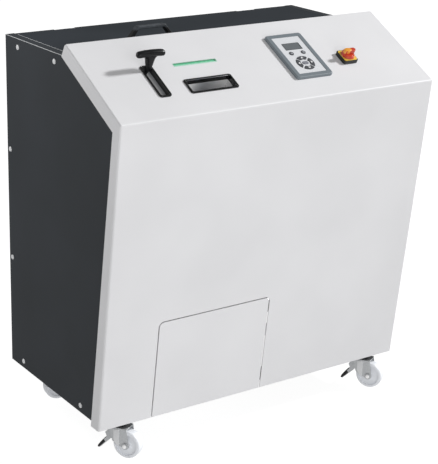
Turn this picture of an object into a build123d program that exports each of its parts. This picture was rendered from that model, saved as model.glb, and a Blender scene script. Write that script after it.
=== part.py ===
from build123d import *
from math import cos, radians, sin, sqrt, tan
import os

os.makedirs("parts", exist_ok=True)

# Outside of the machine, in millimetres
width = 970
depth = 615
fold_height = 920        # height of the fold between the slope and the front
slope_length = 301
slope_angle = 28.7
front_length = 829
front_lean = 7.34

# Sheet metal and fits
cover_sheet = 2
panel_sheet = 1.5
cover_return = 38        # depth of the cover's folded edge
cover_corner = 5
side_step = 12           # side panels stand this far inside the cover
side_gap = 0.3           # between the cover's lip and a side panel
panel_gap = 1            # between neighbouring panels
fit_gap = 0.5            # around a piece in its cut-out
running_fit = 0.05       # radial clearance of a shaft in its bore
flange = 25              # folded edges of the side panels
skirt_step = 4           # side panels end this far above the cover's bottom edge

# Places worked out from the outside
lean = radians(front_lean)
rake = radians(slope_angle)
half_turn = (90 - slope_angle - front_lean) / 2
fold_y = -depth / 2
rear_y = depth / 2
top_y = fold_y + slope_length * cos(rake)
top_z = fold_height + slope_length * sin(rake)
bottom_z = fold_height - front_length * cos(lean)


def slope_point(down, height):
    """Side-view point so far down the slope and so high above it."""
    return (
        top_y - down * cos(rake) - height * sin(rake),
        top_z - down * sin(rake) + height * cos(rake),
    )


def front_point(height, inset):
    """Side-view point at a height, so far inside the front face."""
    return (fold_y + (fold_height - height) * tan(lean) + inset / cos(lean), height)


def fold_point(inset):
    """Side-view point on the fold's bisector, so far inside both faces."""
    return slope_point(slope_length - inset * tan(radians(half_turn)), -inset)


def body_outline(inset, rear, edge):
    """Side-view corners of the body, inset from the cover and edge inside top and bottom."""
    top = body_top - edge
    start = (top_z - inset * cos(rake) - top) / sin(rake)
    return [
        (rear, top),
        slope_point(start, -inset),
        fold_point(inset),
        front_point(body_bottom + edge, inset),
        (rear, body_bottom + edge),
    ]


slope = Plane(origin=(0, top_y, top_z), x_dir=(1, 0, 0), z_dir=(0, -sin(rake), cos(rake)))
front = Plane(origin=(0, fold_y, fold_height), x_dir=(1, 0, 0), z_dir=(0, -cos(lean), -sin(lean)))

slope_axis = Axis((0, 0, 0), slope.z_dir)
body_x = width / 2 - side_step
body_top = slope_point(cover_sheet, -cover_return)[1] - fit_gap
body_bottom = bottom_z + skirt_step
panel_inset = cover_sheet + panel_gap
frame_x = body_x - panel_sheet
frame_inset = panel_inset + panel_sheet
rear_recess = 4          # rear panel stands this far inside the side panels' edge
frame_rear = rear_y - panel_sheet - rear_recess

# Lever slot on the slope, places given as the distance down from the top edge
lever_x = -318
lever_bezel_size = (35.5, 117.5)
lever_bezel_down = 169.8
lever_bezel_corner = 9
bezel_rim = 5            # width of a bezel's rim around its opening
bezel_height = 3
neck_wall = 2            # collar of a bezel, passing down through the cover
neck_depth = 12
guide_slit = 17
guide_sheet = 2

# Intake
intake_x = -174.5
intake_down = 203.5
intake_bezel_size = (142, 51.7)
intake_corner = 7
chute_wall = 1.5
chute_flange = 12

# Light bar
light_x = -175.4
light_down = 119.5
light_size = (126.4, 9.3)
light_sink = 1.2         # the bar's face lies this far below the slope
light_pocket = 7         # left open at the right end of its slot
light_gap = 0.2
light_corner = 2

# Control panel
control_x = 131
control_down = 146.5
control_size = (116, 171)
control_height = 8
control_neck = 6         # how far the bezel reaches below the slope
face_size = (88.4, 144.2)
face_sheet = 2
face_sink = 1            # face plate lies this far below the bezel's rim
face_ledge = 4
display_size = (53.7, 25.8)
display_down = 112.3
key_travel = 0.5
key_rise = 1.4
key_gap = 0.3
round_key = 13
round_key_down = 139.6
round_key_spread = 38.4
pad_down = 180
pad_outer = 26
pad_inner = 14
key_soft = 0.8
key_collar = 1
key_stem = 2.5
key_clear = 0.1          # left above the board when a key is pressed
board_thickness = 1.6
control_corner = 8
control_soft = 3
pad_key_split = 4.6      # straight gap between neighbouring arrow keys
pad_key_corner = 2
enter_key = (18, 11)

# Main switch
switch_x = 272
switch_down = 175.6
switch_base = (46, 10)   # side and height
switch_plate = (41, 1.2)
knob_radius = 19
knob_base = 7
knob_taper = 20
grip_size = (13, 36, 12)
switch_boss = 11
switch_boss_length = 20
switch_corner = 6
switch_nut = 16
switch_nut_height = 6
knob_shaft = 4

# Drawer door in the front face, distances down from the fold
door_x = -155.8
door_width = 340
door_top = 554
door_gap = 3
door_depth = 20
door_corner = 12
door_soft = 1.5
pull_sink = 6
pull_width = 130
pull_height = 16         # height of the finger pull above the door's top edge

# Frame
channel = 30
channel_wall = 2.5
rail = channel - 2 * channel_wall
rail_wall = 2
mid_rail_z = 575
beam = 30
beam_y = (-215, -25)

# Lever and gate
pivot_down = 160
pivot_depth = 120
lever_rest = 13.9        # degrees that the resting lever leans towards the top edge
lever_length = 171.3     # from the shaft to the middle of the grip
shaft_radius = 8
hub_radius = 15
stem_width = (14, 28)    # at the slot and just below the grip
stem_thickness = 9
stem_flare = 30          # length of the flared part below the grip
stem_sweep = 40          # radius where the flare starts
grip_length = 80
grip_radius = 9.5
grip_end_radius = 7.5
gate_radius = 76
gate_sheet = 2
gate_clear = 1.2
gate_start = 11          # degrees from straight in towards the slope
gate_sweep = 56
gate_lightening = 47     # distance of the round cut-out in each cheek from the shaft

# Cutter
cutter_y = -150
shaft_spacing = 88.5
slot_pitch = 20
slot_count = 7
side_clearance = 0.25
disc_radius = 51
hook_radius = 58
hook_count = 4
spacer_radius = 29.5
hex_flats = 38
journal_radius = 17
bearing_radius = 26
cutter_plate = 15
tie_wall = 10
hopper_mouth = 120
gear_gap = 2
bore_depth = 12
hook_step = 15           # turn of each disc against its neighbour
hook_undercut = 3
hook_back = radians(40)
hook_land = radians(12)
tooth_share = 0.64       # half a tooth's width in modules
tooth_angle = radians(20)
tip_height = 0.8
root_depth = 1.1
stripper_gap = 1
stripper_height = 30
cutter_half_y = 114
cutter_half_z = 70
gear_teeth = 20
gear_width = 18

# Casters
wheel_radius = 37.5
wheel_width = 30
wheel_soft = 6
wheel_recess = (29, 13, 4)   # outer and inner radius and depth
axle_radius = 4
axle_head = 7.5
axle_cap = 4
fork_sheet = 3
fork_gap = 2
fork_crown_z = 84
fork_crown = (-18, 32)   # reach of the crown behind and ahead of the swivel
fork_end_radius = 10
fork_heel = (-8, 45)     # lower rear corner of the fork's sides
king_radius = 6
race_radius = 20
plate_sheet = 3
pedal_width = 26
pedal_pivot = (-12, 74)      # ahead of the swivel, and height
pedal_arm = [(-17, 46), (-49, 14), (-54, 18), (-28, 50), (-33, 61)]
pedal_sheet = 4
pedal_pin = 3
king_length = 12
fork_shoulder = 14
bolt_head = 7
bolt_head_height = 5
caster_trail = 28
front_caster = (frame_x - 66.5, fold_y + 140)
rear_caster = (frame_x - 61.5, rear_y - 90.5)
front_heading = -57.9
rear_headings = (-8.3, 188.3)


# Screws, plates and rails
screw_radius = 3
screw_head_radius = 7
screw_head = 3
screw_setback = (17, 72, 73.5)   # of the rear, upper and lower screws from the rear edge
screw_reach = (219, 341.5)       # of the lower and upper front screws behind the fold
screw_edge = (20, 23)            # from the bottom and the top edge
screw_heights = (411, 719)
side_screws = [
    (rear_y - screw_setback[1], body_top - screw_edge[1]),
    (fold_y + screw_reach[1], body_top - screw_edge[1]),
    (rear_y - screw_setback[0], screw_heights[1]),
    (rear_y - screw_setback[0], screw_heights[0]),
    (rear_y - screw_setback[2], body_bottom + screw_edge[0]),
    (fold_y + screw_reach[0], body_bottom + screw_edge[0]),
]
front_rail_y = fold_y + 142.5
lid_rail_y = 0
top_rail_z = 985
caster_plate = 60
corner_plate = 4
bolt_spacing = 43
bolt_radius = 4

# Rear panel, lid and handle
louvre = (90, 6)
louvre_land = 20
louvre_pitch = 16
louvre_rows = 8
louvre_x = 180
louvre_z = 700
inlet_x = body_x - 143
inlet_z = 170
inlet_size = (30, 22)
inlet_rim = 4
inlet_depth = 24
inlet_pitch = 7
inlet_blade = (2, 6)
hinge_x = 300
hinge_radius = 4
hinge_pin = 2
hinge_length = 62
hinge_middle = 30
hinge_leaf = 24
lid_rear = frame_rear - 10
lid_gap = 2              # between the lid's rear edge and the rear panel's flange
lid_stiffener_x = 430
lid_stiffener = 14
handle_x = -193
handle_y = 34.5
handle_foot = 159
handle_top = 84
handle_height = 45
handle_leg = 14.5
handle_bar = 8.5
handle_width = 16
handle_soft = 2.5
handle_corner = (8, 5)   # outer and inner radius where a leg meets the bar
handle_bolts = 144
handle_bolt_radius = 3

# Drawer and its runners
bin_width = door_width - 22
bin_top_z = 345
bin_rear = 205
bin_rake = 15            # the rear wall leans back by this much
bin_sheet = 1.5
runner_wall = 2
slide_bar = (8, 14)
slide_gap = 0.4

# Discharge chute, electrics and drive
discharge_size = (136, 160)
discharge_y = -120
discharge_bottom_z = 362
hopper_top_z = 812
hopper_top = (-278, -146)
hopper_wall = 2
gearbox_size = (116, 150, 130)
gearbox_x = 8
gearbox_foot = 8
motor_radius = 60
motor_length = 190
motor_fins = 18
fin_height = 6
fin_width = 3
cowl_length = 46
terminal_box = (70, 60, 34)
plate_x = (60, 420)
plate_z = (640, 990)
gear_step = 6
gear_boxes = (           # centre x and z, width, height and depth
    (120, 900, 54, 90, 82),
    (190, 900, 54, 90, 82),
    (250, 900, 36, 86, 70),
    (360, 890, 80, 120, 60),
    (150, 730, 110, 90, 76),
    (330, 740, 120, 110, 50),
)
bracket_sheet = 4
bracket_x = (-284, -72)
bush_wall = 4
bush_length = 14

beam_top = mid_rail_z + channel / 2 + beam
cutter_z = beam_top + cutter_half_z
cutter_half_x = slot_count * slot_pitch / 2 + 1
shaft_y = (cutter_y - shaft_spacing / 2, cutter_y + shaft_spacing / 2)
bin_base_z = body_bottom + panel_sheet + channel - channel_wall + runner_wall + slide_gap
lever_opening = (lever_bezel_size[0] - 2 * bezel_rim, lever_bezel_size[1] - 2 * bezel_rim)
lever_neck = (lever_opening[0] + 2 * neck_wall, lever_opening[1] + 2 * neck_wall)
intake_opening = (intake_bezel_size[0] - 2 * bezel_rim, intake_bezel_size[1] - 2 * bezel_rim)
intake_neck = (intake_opening[0] + 2 * neck_wall, intake_opening[1] + 2 * neck_wall)
control_window = (face_size[0] - 2 * face_ledge, face_size[1] - 2 * face_ledge)
control_neck_size = (control_window[0] + 2 * neck_wall, control_window[1] + 2 * neck_wall)

# Front cover: one sheet folded over the slope and the front, with deep returns
with BuildPart() as front_cover:
    with BuildSketch(Plane.YZ):
        with BuildLine():
            Polyline(
                slope_point(0, 0),
                fold_point(0),
                front_point(bottom_z, 0),
                front_point(bottom_z, cover_return),
                fold_point(cover_return),
                slope_point(0, -cover_return),
                close=True,
            )
        make_face()
    extrude(amount=width / 2, both=True)
    fillet(front_cover.edges().filter_by(Axis.X).sort_by(Axis.Y)[0], cover_corner)
    fillet(
        front_cover.edges()
        .filter_by(lambda e: e.length > 2 * cover_return)
        .filter_by(lambda e: abs(abs(e.center().X) - width / 2) < fit_gap)
        .filter_by(lambda e: e.center().Y < front_point(e.center().Z, cover_return / 2)[0]
                   or slope.to_local_coords(e.center()).Z > -cover_return / 2),
        cover_corner,
    )
    with BuildSketch(Plane.YZ):
        with BuildLine():
            Polyline(
                slope_point(cover_sheet, -cover_sheet),
                fold_point(cover_sheet),
                front_point(bottom_z - cover_sheet, cover_sheet),
                front_point(bottom_z - cover_sheet, 2 * cover_return),
                fold_point(2 * cover_return),
                slope_point(cover_sheet, -2 * cover_return),
                close=True,
            )
        make_face()
    extrude(amount=width / 2 - cover_sheet, both=True, mode=Mode.SUBTRACT)
    # Narrow lips turned in towards the side panels
    with BuildSketch(Plane.YZ.offset(body_x + side_gap)):
        with BuildLine():
            Polyline(
                slope_point(0, cover_sheet - cover_return),
                fold_point(cover_return - cover_sheet),
                front_point(bottom_z, cover_return - cover_sheet),
                front_point(bottom_z, cover_return),
                fold_point(cover_return),
                slope_point(0, -cover_return),
                close=True,
            )
        make_face()
    lip = extrude(amount=side_step - side_gap - cover_sheet / 2)
    mirror(lip, about=Plane.YZ)
    # Openings in the slope
    with BuildSketch(slope):
        with Locations((lever_x, -lever_bezel_down)):
            RectangleRounded(
                lever_neck[0] + fit_gap,
                lever_neck[1] + fit_gap,
                lever_bezel_corner - bezel_rim + neck_wall,
            )
        with Locations((intake_x, -intake_down)):
            RectangleRounded(
                intake_neck[0] + fit_gap,
                intake_neck[1] + fit_gap,
                intake_corner - bezel_rim + neck_wall,
            )
        with Locations((light_x, -light_down)):
            RectangleRounded(light_size[0] + 2 * light_gap, light_size[1] + 2 * light_gap, light_corner)
        with Locations((control_x, -control_down)):
            Rectangle(control_neck_size[0] + fit_gap, control_neck_size[1] + fit_gap)
        with Locations((switch_x, -switch_down)):
            Circle(switch_boss + fit_gap)
    extrude(amount=-2 * cover_sheet, mode=Mode.SUBTRACT)
    # Notch for the drawer's door, open at the bottom edge
    with BuildSketch(front):
        with Locations((door_x, -front_length)):
            RectangleRounded(
                door_width + 2 * door_gap,
                2 * (front_length - door_top + door_gap),
                door_corner + door_gap,
            )
    extrude(amount=-2 * cover_return, mode=Mode.SUBTRACT)
front_cover.part.label = "front_cover"
export_step(front_cover.part, "parts/front_cover.step")

# Side panels: folded pans, screwed to the frame
with BuildPart() as side_panel_right:
    with BuildSketch(Plane.YZ.offset(body_x)):
        with BuildLine():
            Polyline(*body_outline(panel_inset, rear_y, 0), close=True)
        make_face()
    extrude(amount=-flange)
    with BuildSketch(Plane.YZ.offset(frame_x)):
        with BuildLine():
            Polyline(
                *body_outline(panel_inset + panel_sheet, rear_y - panel_sheet, panel_sheet),
                close=True,
            )
        make_face()
    extrude(amount=-flange, mode=Mode.SUBTRACT)
    with BuildSketch(Plane.YZ.offset(body_x)):
        with Locations(*side_screws):
            Circle(screw_radius + fit_gap / 2)
    extrude(amount=-panel_sheet, mode=Mode.SUBTRACT)
side_panel_right.part.label = "side_panel_right"
export_step(side_panel_right.part, "parts/side_panel_right.step")

with BuildPart() as side_panel_left:
    mirror(side_panel_right.part, about=Plane.YZ)
side_panel_left.part.label = "side_panel_left"
export_step(side_panel_left.part, "parts/side_panel_left.step")

# Side frames: folded channel, open towards the inside, with a middle rail for the cutter
with BuildPart() as side_frames:
    for edge, start, thickness, mode in (
        (0, frame_x, channel, Mode.ADD),
        (channel_wall, frame_x - channel_wall, channel, Mode.SUBTRACT),
    ):
        with BuildSketch(Plane.YZ.offset(start)):
            with BuildLine():
                Polyline(
                    *body_outline(frame_inset + edge, frame_rear - edge, panel_sheet + edge),
                    close=True,
                )
            make_face()
            window = channel - edge
            with BuildLine():
                Polyline(
                    *body_outline(frame_inset + window, frame_rear - window, panel_sheet + window),
                    close=True,
                )
            make_face(mode=Mode.SUBTRACT)
            with BuildLine():
                Polyline(
                    (frame_rear - window, mid_rail_z - channel / 2 + edge),
                    (frame_rear - window, mid_rail_z + channel / 2 - edge),
                    front_point(mid_rail_z + channel / 2 - edge, frame_inset + window),
                    front_point(mid_rail_z - channel / 2 + edge, frame_inset + window),
                    close=True,
                )
            make_face()
        extrude(amount=-thickness, mode=mode)
    with BuildSketch(Plane.YZ.offset(frame_x)):
        with Locations(*side_screws):
            Circle(screw_radius)
    extrude(amount=-channel_wall, mode=Mode.SUBTRACT)
    mirror(side_frames.part, about=Plane.YZ)
side_frames.part.label = "side_frames"
export_step(side_frames.part, "parts/side_frames.step")

# Cross rails: square tube, standing inside the side channels
rail_length = 2 * (frame_x - channel_wall)
bottom_rail_z = body_bottom + panel_sheet + channel_wall + rail / 2
with BuildPart() as cross_rails:
    with BuildSketch(Plane.YZ):
        with Locations(
            (front_rail_y, bottom_rail_z),
            (rear_caster[1], bottom_rail_z),
            (frame_rear - channel_wall - rail / 2, top_rail_z),
            (lid_rail_y, body_top - panel_sheet - channel_wall - rail / 2),
        ):
            Rectangle(rail, rail)
            Rectangle(rail - 2 * rail_wall, rail - 2 * rail_wall, mode=Mode.SUBTRACT)
    extrude(amount=rail_length / 2, both=True)
    # Two beams for the cutter, on the middle rails of the side frames
    with BuildSketch(Plane.YZ):
        with Locations(*[(y, beam_top - beam / 2) for y in beam_y]):
            Rectangle(beam, beam)
            Rectangle(beam - 2 * channel_wall, beam - 2 * channel_wall, mode=Mode.SUBTRACT)
    extrude(amount=frame_x, both=True)
    # Corner plates that the casters bolt to
    with BuildSketch(Plane.XY.offset(bottom_rail_z - rail / 2)):
        for corner in (front_caster, rear_caster):
            with Locations(corner, (-corner[0], corner[1])):
                Rectangle(caster_plate, caster_plate)
                with GridLocations(bolt_spacing, bolt_spacing, 2, 2):
                    Circle(bolt_radius, mode=Mode.SUBTRACT)
    extrude(amount=-corner_plate)
cross_rails.part.label = "cross_rails"
export_step(cross_rails.part, "parts/cross_rails.step")

# Side screws: zinc pan heads
with BuildPart() as panel_screws:
    with BuildSketch(Plane.YZ.offset(body_x)):
        with Locations(*side_screws):
            Circle(screw_head_radius)
    heads = extrude(amount=screw_head)
    chamfer(panel_screws.faces().sort_by(Axis.X)[-1:].edges(), screw_head / 3)
    with BuildSketch(Plane.YZ.offset(body_x)):
        with Locations(*side_screws):
            Circle(screw_radius - running_fit)
    extrude(amount=-(panel_sheet + channel_wall))
    mirror(panel_screws.part, about=Plane.YZ)
panel_screws.part.label = "panel_screws"
export_step(panel_screws.part, "parts/panel_screws.step")

# Rear panel: louvred sheet, with a top flange notched around the hinges
hinge_y = frame_rear - hinge_radius + panel_sheet - hinge_radius / 2
hinge_z = body_top - hinge_radius
rear_x = body_x - flange - panel_gap
with BuildPart() as rear_panel:
    with BuildSketch(Plane.XZ.offset(-frame_rear - panel_sheet)):
        with BuildLine():
            Polyline(
                (-rear_x, body_bottom + panel_sheet + panel_gap),
                (rear_x, body_bottom + panel_sheet + panel_gap),
                (rear_x, body_top),
                (-rear_x, body_top),
                close=True,
            )
        make_face()
        with Locations((louvre_x, louvre_z)):
            with GridLocations(louvre[0] + louvre_land, louvre_pitch, 2, louvre_rows):
                SlotOverall(louvre[0], louvre[1], mode=Mode.SUBTRACT)
        with Locations((inlet_x, inlet_z)):
            Rectangle(inlet_size[0] + fit_gap, inlet_size[1] + fit_gap, mode=Mode.SUBTRACT)
    extrude(amount=panel_sheet)
    with BuildSketch(Plane.XY.offset(body_top)):
        with BuildLine():
            Polyline(
                (-rear_x, frame_rear + panel_sheet / 2),
                (rear_x, frame_rear + panel_sheet / 2),
                (rear_x, lid_rear + lid_gap),
                (-rear_x, lid_rear + lid_gap),
                close=True,
            )
        make_face()
    extrude(amount=-panel_sheet)
    with BuildSketch(Plane.XY.offset(body_top)):
        with Locations((-hinge_x, frame_rear), (hinge_x, frame_rear)):
            Rectangle(hinge_length + 2 * panel_gap, 4 * hinge_radius)
    extrude(amount=-(2 * hinge_radius + panel_gap), mode=Mode.SUBTRACT)
rear_panel.part.label = "rear_panel"
export_step(rear_panel.part, "parts/rear_panel.step")

with BuildPart() as power_inlet:
    with BuildSketch(Plane.XZ.offset(-frame_rear - panel_sheet)):
        with Locations((inlet_x, inlet_z)):
            RectangleRounded(inlet_size[0] + 2 * inlet_rim, inlet_size[1] + 2 * inlet_rim, inlet_rim)
    extrude(amount=-inlet_rim / 2)
    with BuildSketch(Plane.XZ.offset(-frame_rear - panel_sheet)):
        with Locations((inlet_x, inlet_z)):
            Rectangle(*inlet_size)
    extrude(amount=inlet_depth)
    with BuildSketch(Plane.XZ.offset(-frame_rear - panel_sheet - inlet_rim / 2)):
        with Locations((inlet_x, inlet_z)):
            Rectangle(inlet_size[0] - inlet_rim, inlet_size[1] - inlet_rim)
    extrude(amount=inlet_depth, mode=Mode.SUBTRACT)
    with BuildSketch(Plane.XZ.offset(-frame_rear - panel_sheet + inlet_depth)):
        with Locations((inlet_x, inlet_z)):
            with GridLocations(inlet_pitch, 0, 3, 1):
                Rectangle(inlet_blade[0], inlet_blade[1])
    extrude(amount=-inlet_depth)
power_inlet.part.label = "power_inlet"
export_step(power_inlet.part, "parts/power_inlet.step")

# Top lid, stiffened underneath, with the moving knuckles of its hinges
lid_front = slope_point(0, -cover_return)[0] + cover_sheet
lid_x = body_x - flange - panel_gap
with BuildPart() as top_lid:
    with BuildSketch(Plane.XY.offset(body_top)):
        with BuildLine():
            Polyline(
                (-lid_x, lid_front), (lid_x, lid_front), (lid_x, lid_rear), (-lid_x, lid_rear),
                close=True,
            )
        make_face()
    extrude(amount=-panel_sheet)
    with BuildSketch(Plane.XY.offset(body_top - panel_sheet)):
        with BuildLine():
            Polyline(
                (-lid_stiffener_x, lid_rail_y + rail),
                (lid_stiffener_x, lid_rail_y + rail),
                (lid_stiffener_x, lid_rear - rail),
                (-lid_stiffener_x, lid_rear - rail),
                close=True,
            )
        make_face()
        offset(amount=-panel_sheet, mode=Mode.SUBTRACT)
    extrude(amount=-lid_stiffener)
    for x in (-hinge_x, hinge_x):
        with BuildSketch(Plane.YZ.offset(x - hinge_middle / 2)):
            with Locations((hinge_y, hinge_z)):
                Circle(hinge_radius)
            with BuildLine():
                Polyline(
                    (lid_rear - hinge_radius, body_top - panel_sheet),
                    (hinge_y, body_top - panel_sheet),
                    (hinge_y, body_top),
                    (lid_rear - hinge_radius, body_top),
                    close=True,
                )
            make_face()
            with Locations((hinge_y, hinge_z)):
                Circle(hinge_pin + running_fit, mode=Mode.SUBTRACT)
        extrude(amount=hinge_middle)
    with BuildSketch(Plane.XY.offset(body_top)):
        with Locations((handle_x, handle_y)):
            with GridLocations(handle_bolts, 0, 2, 1):
                Circle(handle_bolt_radius)
    extrude(amount=-panel_sheet, mode=Mode.SUBTRACT)
top_lid.part.label = "top_lid"
export_step(top_lid.part, "parts/top_lid.step")

with BuildPart() as lid_hinges:
    for x in (-hinge_x, hinge_x):
        knuckle = (hinge_length - hinge_middle) / 2 - fit_gap
        for start in (x - hinge_length / 2, x + hinge_middle / 2 + fit_gap):
            with BuildSketch(Plane.YZ.offset(start)):
                with Locations((hinge_y, hinge_z)):
                    Circle(hinge_radius)
                with BuildLine():
                    Polyline(
                        (frame_rear - panel_sheet, hinge_z - hinge_leaf),
                        (frame_rear, hinge_z - hinge_leaf),
                        (frame_rear, hinge_z),
                        (frame_rear - panel_sheet, hinge_z),
                        close=True,
                    )
                make_face()
            extrude(amount=knuckle)
        with BuildSketch(Plane.YZ.offset(x - hinge_length / 2)):
            with Locations((hinge_y, hinge_z)):
                Circle(hinge_pin)
        extrude(amount=hinge_length)
        with BuildSketch(Plane.YZ.offset(x - hinge_length / 2)):
            with BuildLine():
                Polyline(
                    (frame_rear - panel_sheet, hinge_z - hinge_leaf),
                    (frame_rear, hinge_z - hinge_leaf),
                    (frame_rear, hinge_z - hinge_radius - fit_gap),
                    (frame_rear - panel_sheet, hinge_z - hinge_radius - fit_gap),
                    close=True,
                )
            make_face()
        extrude(amount=hinge_length)
lid_hinges.part.label = "lid_hinges"
export_step(lid_hinges.part, "parts/lid_hinges.step")

# Bow handle on the lid
with BuildPart() as bow_handle:
    with BuildSketch(Plane.XZ.offset(-handle_y)):
        with BuildLine():
            Polyline(
                (handle_x - handle_foot / 2, body_top),
                (handle_x + handle_foot / 2, body_top),
                (handle_x + handle_top / 2, body_top + handle_height),
                (handle_x - handle_top / 2, body_top + handle_height),
                close=True,
            )
        make_face()
        with BuildLine():
            Polyline(
                (handle_x - handle_foot / 2 + handle_leg, body_top),
                (handle_x + handle_foot / 2 - handle_leg, body_top),
                (handle_x + handle_top / 2 - handle_bar / 2, body_top + handle_height - handle_bar),
                (handle_x - handle_top / 2 + handle_bar / 2, body_top + handle_height - handle_bar),
                close=True,
            )
        make_face(mode=Mode.SUBTRACT)
    extrude(amount=handle_width / 2, both=True)
    upper = bow_handle.edges().filter_by(Axis.Y).filter_by(lambda e: e.center().Z > body_top + fit_gap)
    fillet(upper.sort_by(Axis.Z)[-2:], handle_corner[0])
    fillet(upper.sort_by(Axis.Z)[:2], handle_corner[1])
    fillet(bow_handle.edges().filter_by(Axis.Y, reverse=True).filter_by(
        lambda e: e.center().Z > body_top + fit_gap), handle_soft)
bow_handle.part.label = "bow_handle"
export_step(bow_handle.part, "parts/bow_handle.step")

# Lever bezel, with a slitted steel guide plate under its opening
with BuildPart() as lever_bezel:
    with BuildSketch(slope):
        with Locations((lever_x, -lever_bezel_down)):
            RectangleRounded(*lever_bezel_size, lever_bezel_corner)
    extrude(amount=bezel_height)
    chamfer(lever_bezel.faces().sort_by(slope_axis)[-1].edges(), bezel_height / 3)
    with BuildSketch(slope):
        with Locations((lever_x, -lever_bezel_down)):
            RectangleRounded(*lever_neck, lever_bezel_corner - bezel_rim + neck_wall)
    extrude(amount=-neck_depth)
    with BuildSketch(slope.offset(bezel_height)):
        with Locations((lever_x, -lever_bezel_down)):
            RectangleRounded(*lever_opening, lever_bezel_corner - bezel_rim)
    extrude(amount=-neck_depth - 2 * bezel_height, mode=Mode.SUBTRACT)
lever_bezel.part.label = "lever_bezel"
export_step(lever_bezel.part, "parts/lever_bezel.step")

with BuildPart() as lever_guide:
    with BuildSketch(slope.offset(-neck_depth)):
        with Locations((lever_x, -lever_bezel_down)):
            Rectangle(lever_neck[0] + chute_flange, lever_neck[1] + chute_flange)
            SlotOverall(lever_opening[1] + neck_wall, guide_slit, rotation=90, mode=Mode.SUBTRACT)
    extrude(amount=-guide_sheet)
    # Two feet up to the cover
    with BuildSketch(slope.offset(-cover_sheet)):
        with Locations((lever_x, -lever_bezel_down)):
            with GridLocations(0, lever_neck[1] + chute_flange - 2 * guide_sheet, 1, 2):
                Rectangle(lever_neck[0], guide_sheet)
    extrude(amount=cover_sheet - neck_depth)
lever_guide.part.label = "lever_guide"
export_step(lever_guide.part, "parts/lever_guide.step")

# Intake bezel and the stainless feed chute below it
with BuildPart() as intake_bezel:
    with BuildSketch(slope):
        with Locations((intake_x, -intake_down)):
            RectangleRounded(*intake_bezel_size, intake_corner)
    extrude(amount=bezel_height)
    chamfer(intake_bezel.faces().sort_by(slope_axis)[-1].edges(), bezel_height / 3)
    with BuildSketch(slope):
        with Locations((intake_x, -intake_down)):
            RectangleRounded(*intake_neck, intake_corner - bezel_rim + neck_wall)
    extrude(amount=-neck_depth)
    with BuildSketch(slope.offset(bezel_height)):
        with Locations((intake_x, -intake_down)):
            RectangleRounded(*intake_opening, intake_corner - bezel_rim)
    extrude(amount=-neck_depth - 2 * bezel_height, mode=Mode.SUBTRACT)
intake_bezel.part.label = "intake_bezel"
export_step(intake_bezel.part, "parts/intake_bezel.step")

chute_inside = (intake_neck[0] + fit_gap, intake_neck[1] + fit_gap)
pivot = slope_point(pivot_down, -pivot_depth)
with BuildPart() as feed_chute:
    with BuildSketch(slope.offset(-cover_sheet)):
        with Locations((intake_x, -intake_down)):
            Rectangle(chute_inside[0] + 2 * chute_flange, chute_inside[1] + 2 * chute_flange)
    extrude(amount=-chute_wall)
    with BuildSketch(slope.offset(-cover_sheet)):
        with Locations((intake_x, -intake_down)):
            Rectangle(chute_inside[0] + 2 * chute_wall, chute_inside[1] + 2 * chute_wall)
    extrude(amount=-pivot_depth)
    with BuildSketch(slope.offset(-cover_sheet)):
        with Locations((intake_x, -intake_down)):
            Rectangle(*chute_inside)
    extrude(amount=-pivot_depth, mode=Mode.SUBTRACT)
    # The lower edge follows the swing of the gate
    with BuildSketch(Plane.YZ.offset(intake_x - intake_bezel_size[0])):
        with Locations(pivot):
            Circle(gate_radius + gate_clear)
    extrude(amount=2 * intake_bezel_size[0], mode=Mode.SUBTRACT)
feed_chute.part.label = "feed_chute"
export_step(feed_chute.part, "parts/feed_chute.step")

# Light bar behind its slot
with BuildPart() as light_bar:
    with BuildSketch(slope.offset(-cover_sheet)):
        with Locations((light_x - light_pocket / 2, -light_down)):
            RectangleRounded(light_size[0] - light_pocket, light_size[1], light_corner)
    extrude(amount=cover_sheet - light_sink)
    with BuildSketch(slope.offset(-cover_sheet)):
        with Locations((light_x, -light_down)):
            Rectangle(light_size[0] + 4 * light_corner, light_size[1] + 4 * light_corner)
    extrude(amount=-cover_sheet)
light_bar.part.label = "light_bar"
export_step(light_bar.part, "parts/light_bar.step")

# Control panel: bezel, face plate, display and keys
face_level = control_height - face_sink
with BuildPart() as control_bezel:
    with BuildSketch(slope):
        with Locations((control_x, -control_down)):
            RectangleRounded(*control_size, control_corner)
    extrude(amount=control_height)
    fillet(control_bezel.faces().sort_by(slope_axis)[-1].edges(), control_soft)
    with BuildSketch(slope):
        with Locations((control_x, -control_down)):
            Rectangle(*control_neck_size)
    extrude(amount=-control_neck)
    with BuildSketch(slope.offset(control_height)):
        with Locations((control_x, -control_down)):
            Rectangle(face_size[0] + key_gap, face_size[1] + key_gap)
    extrude(amount=-face_sink - face_sheet, mode=Mode.SUBTRACT)
    with BuildSketch(slope.offset(control_height)):
        with Locations((control_x, -control_down)):
            Rectangle(*control_window)
    extrude(amount=-2 * control_height - control_neck, mode=Mode.SUBTRACT)
control_bezel.part.label = "control_bezel"
export_step(control_bezel.part, "parts/control_bezel.step")

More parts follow.
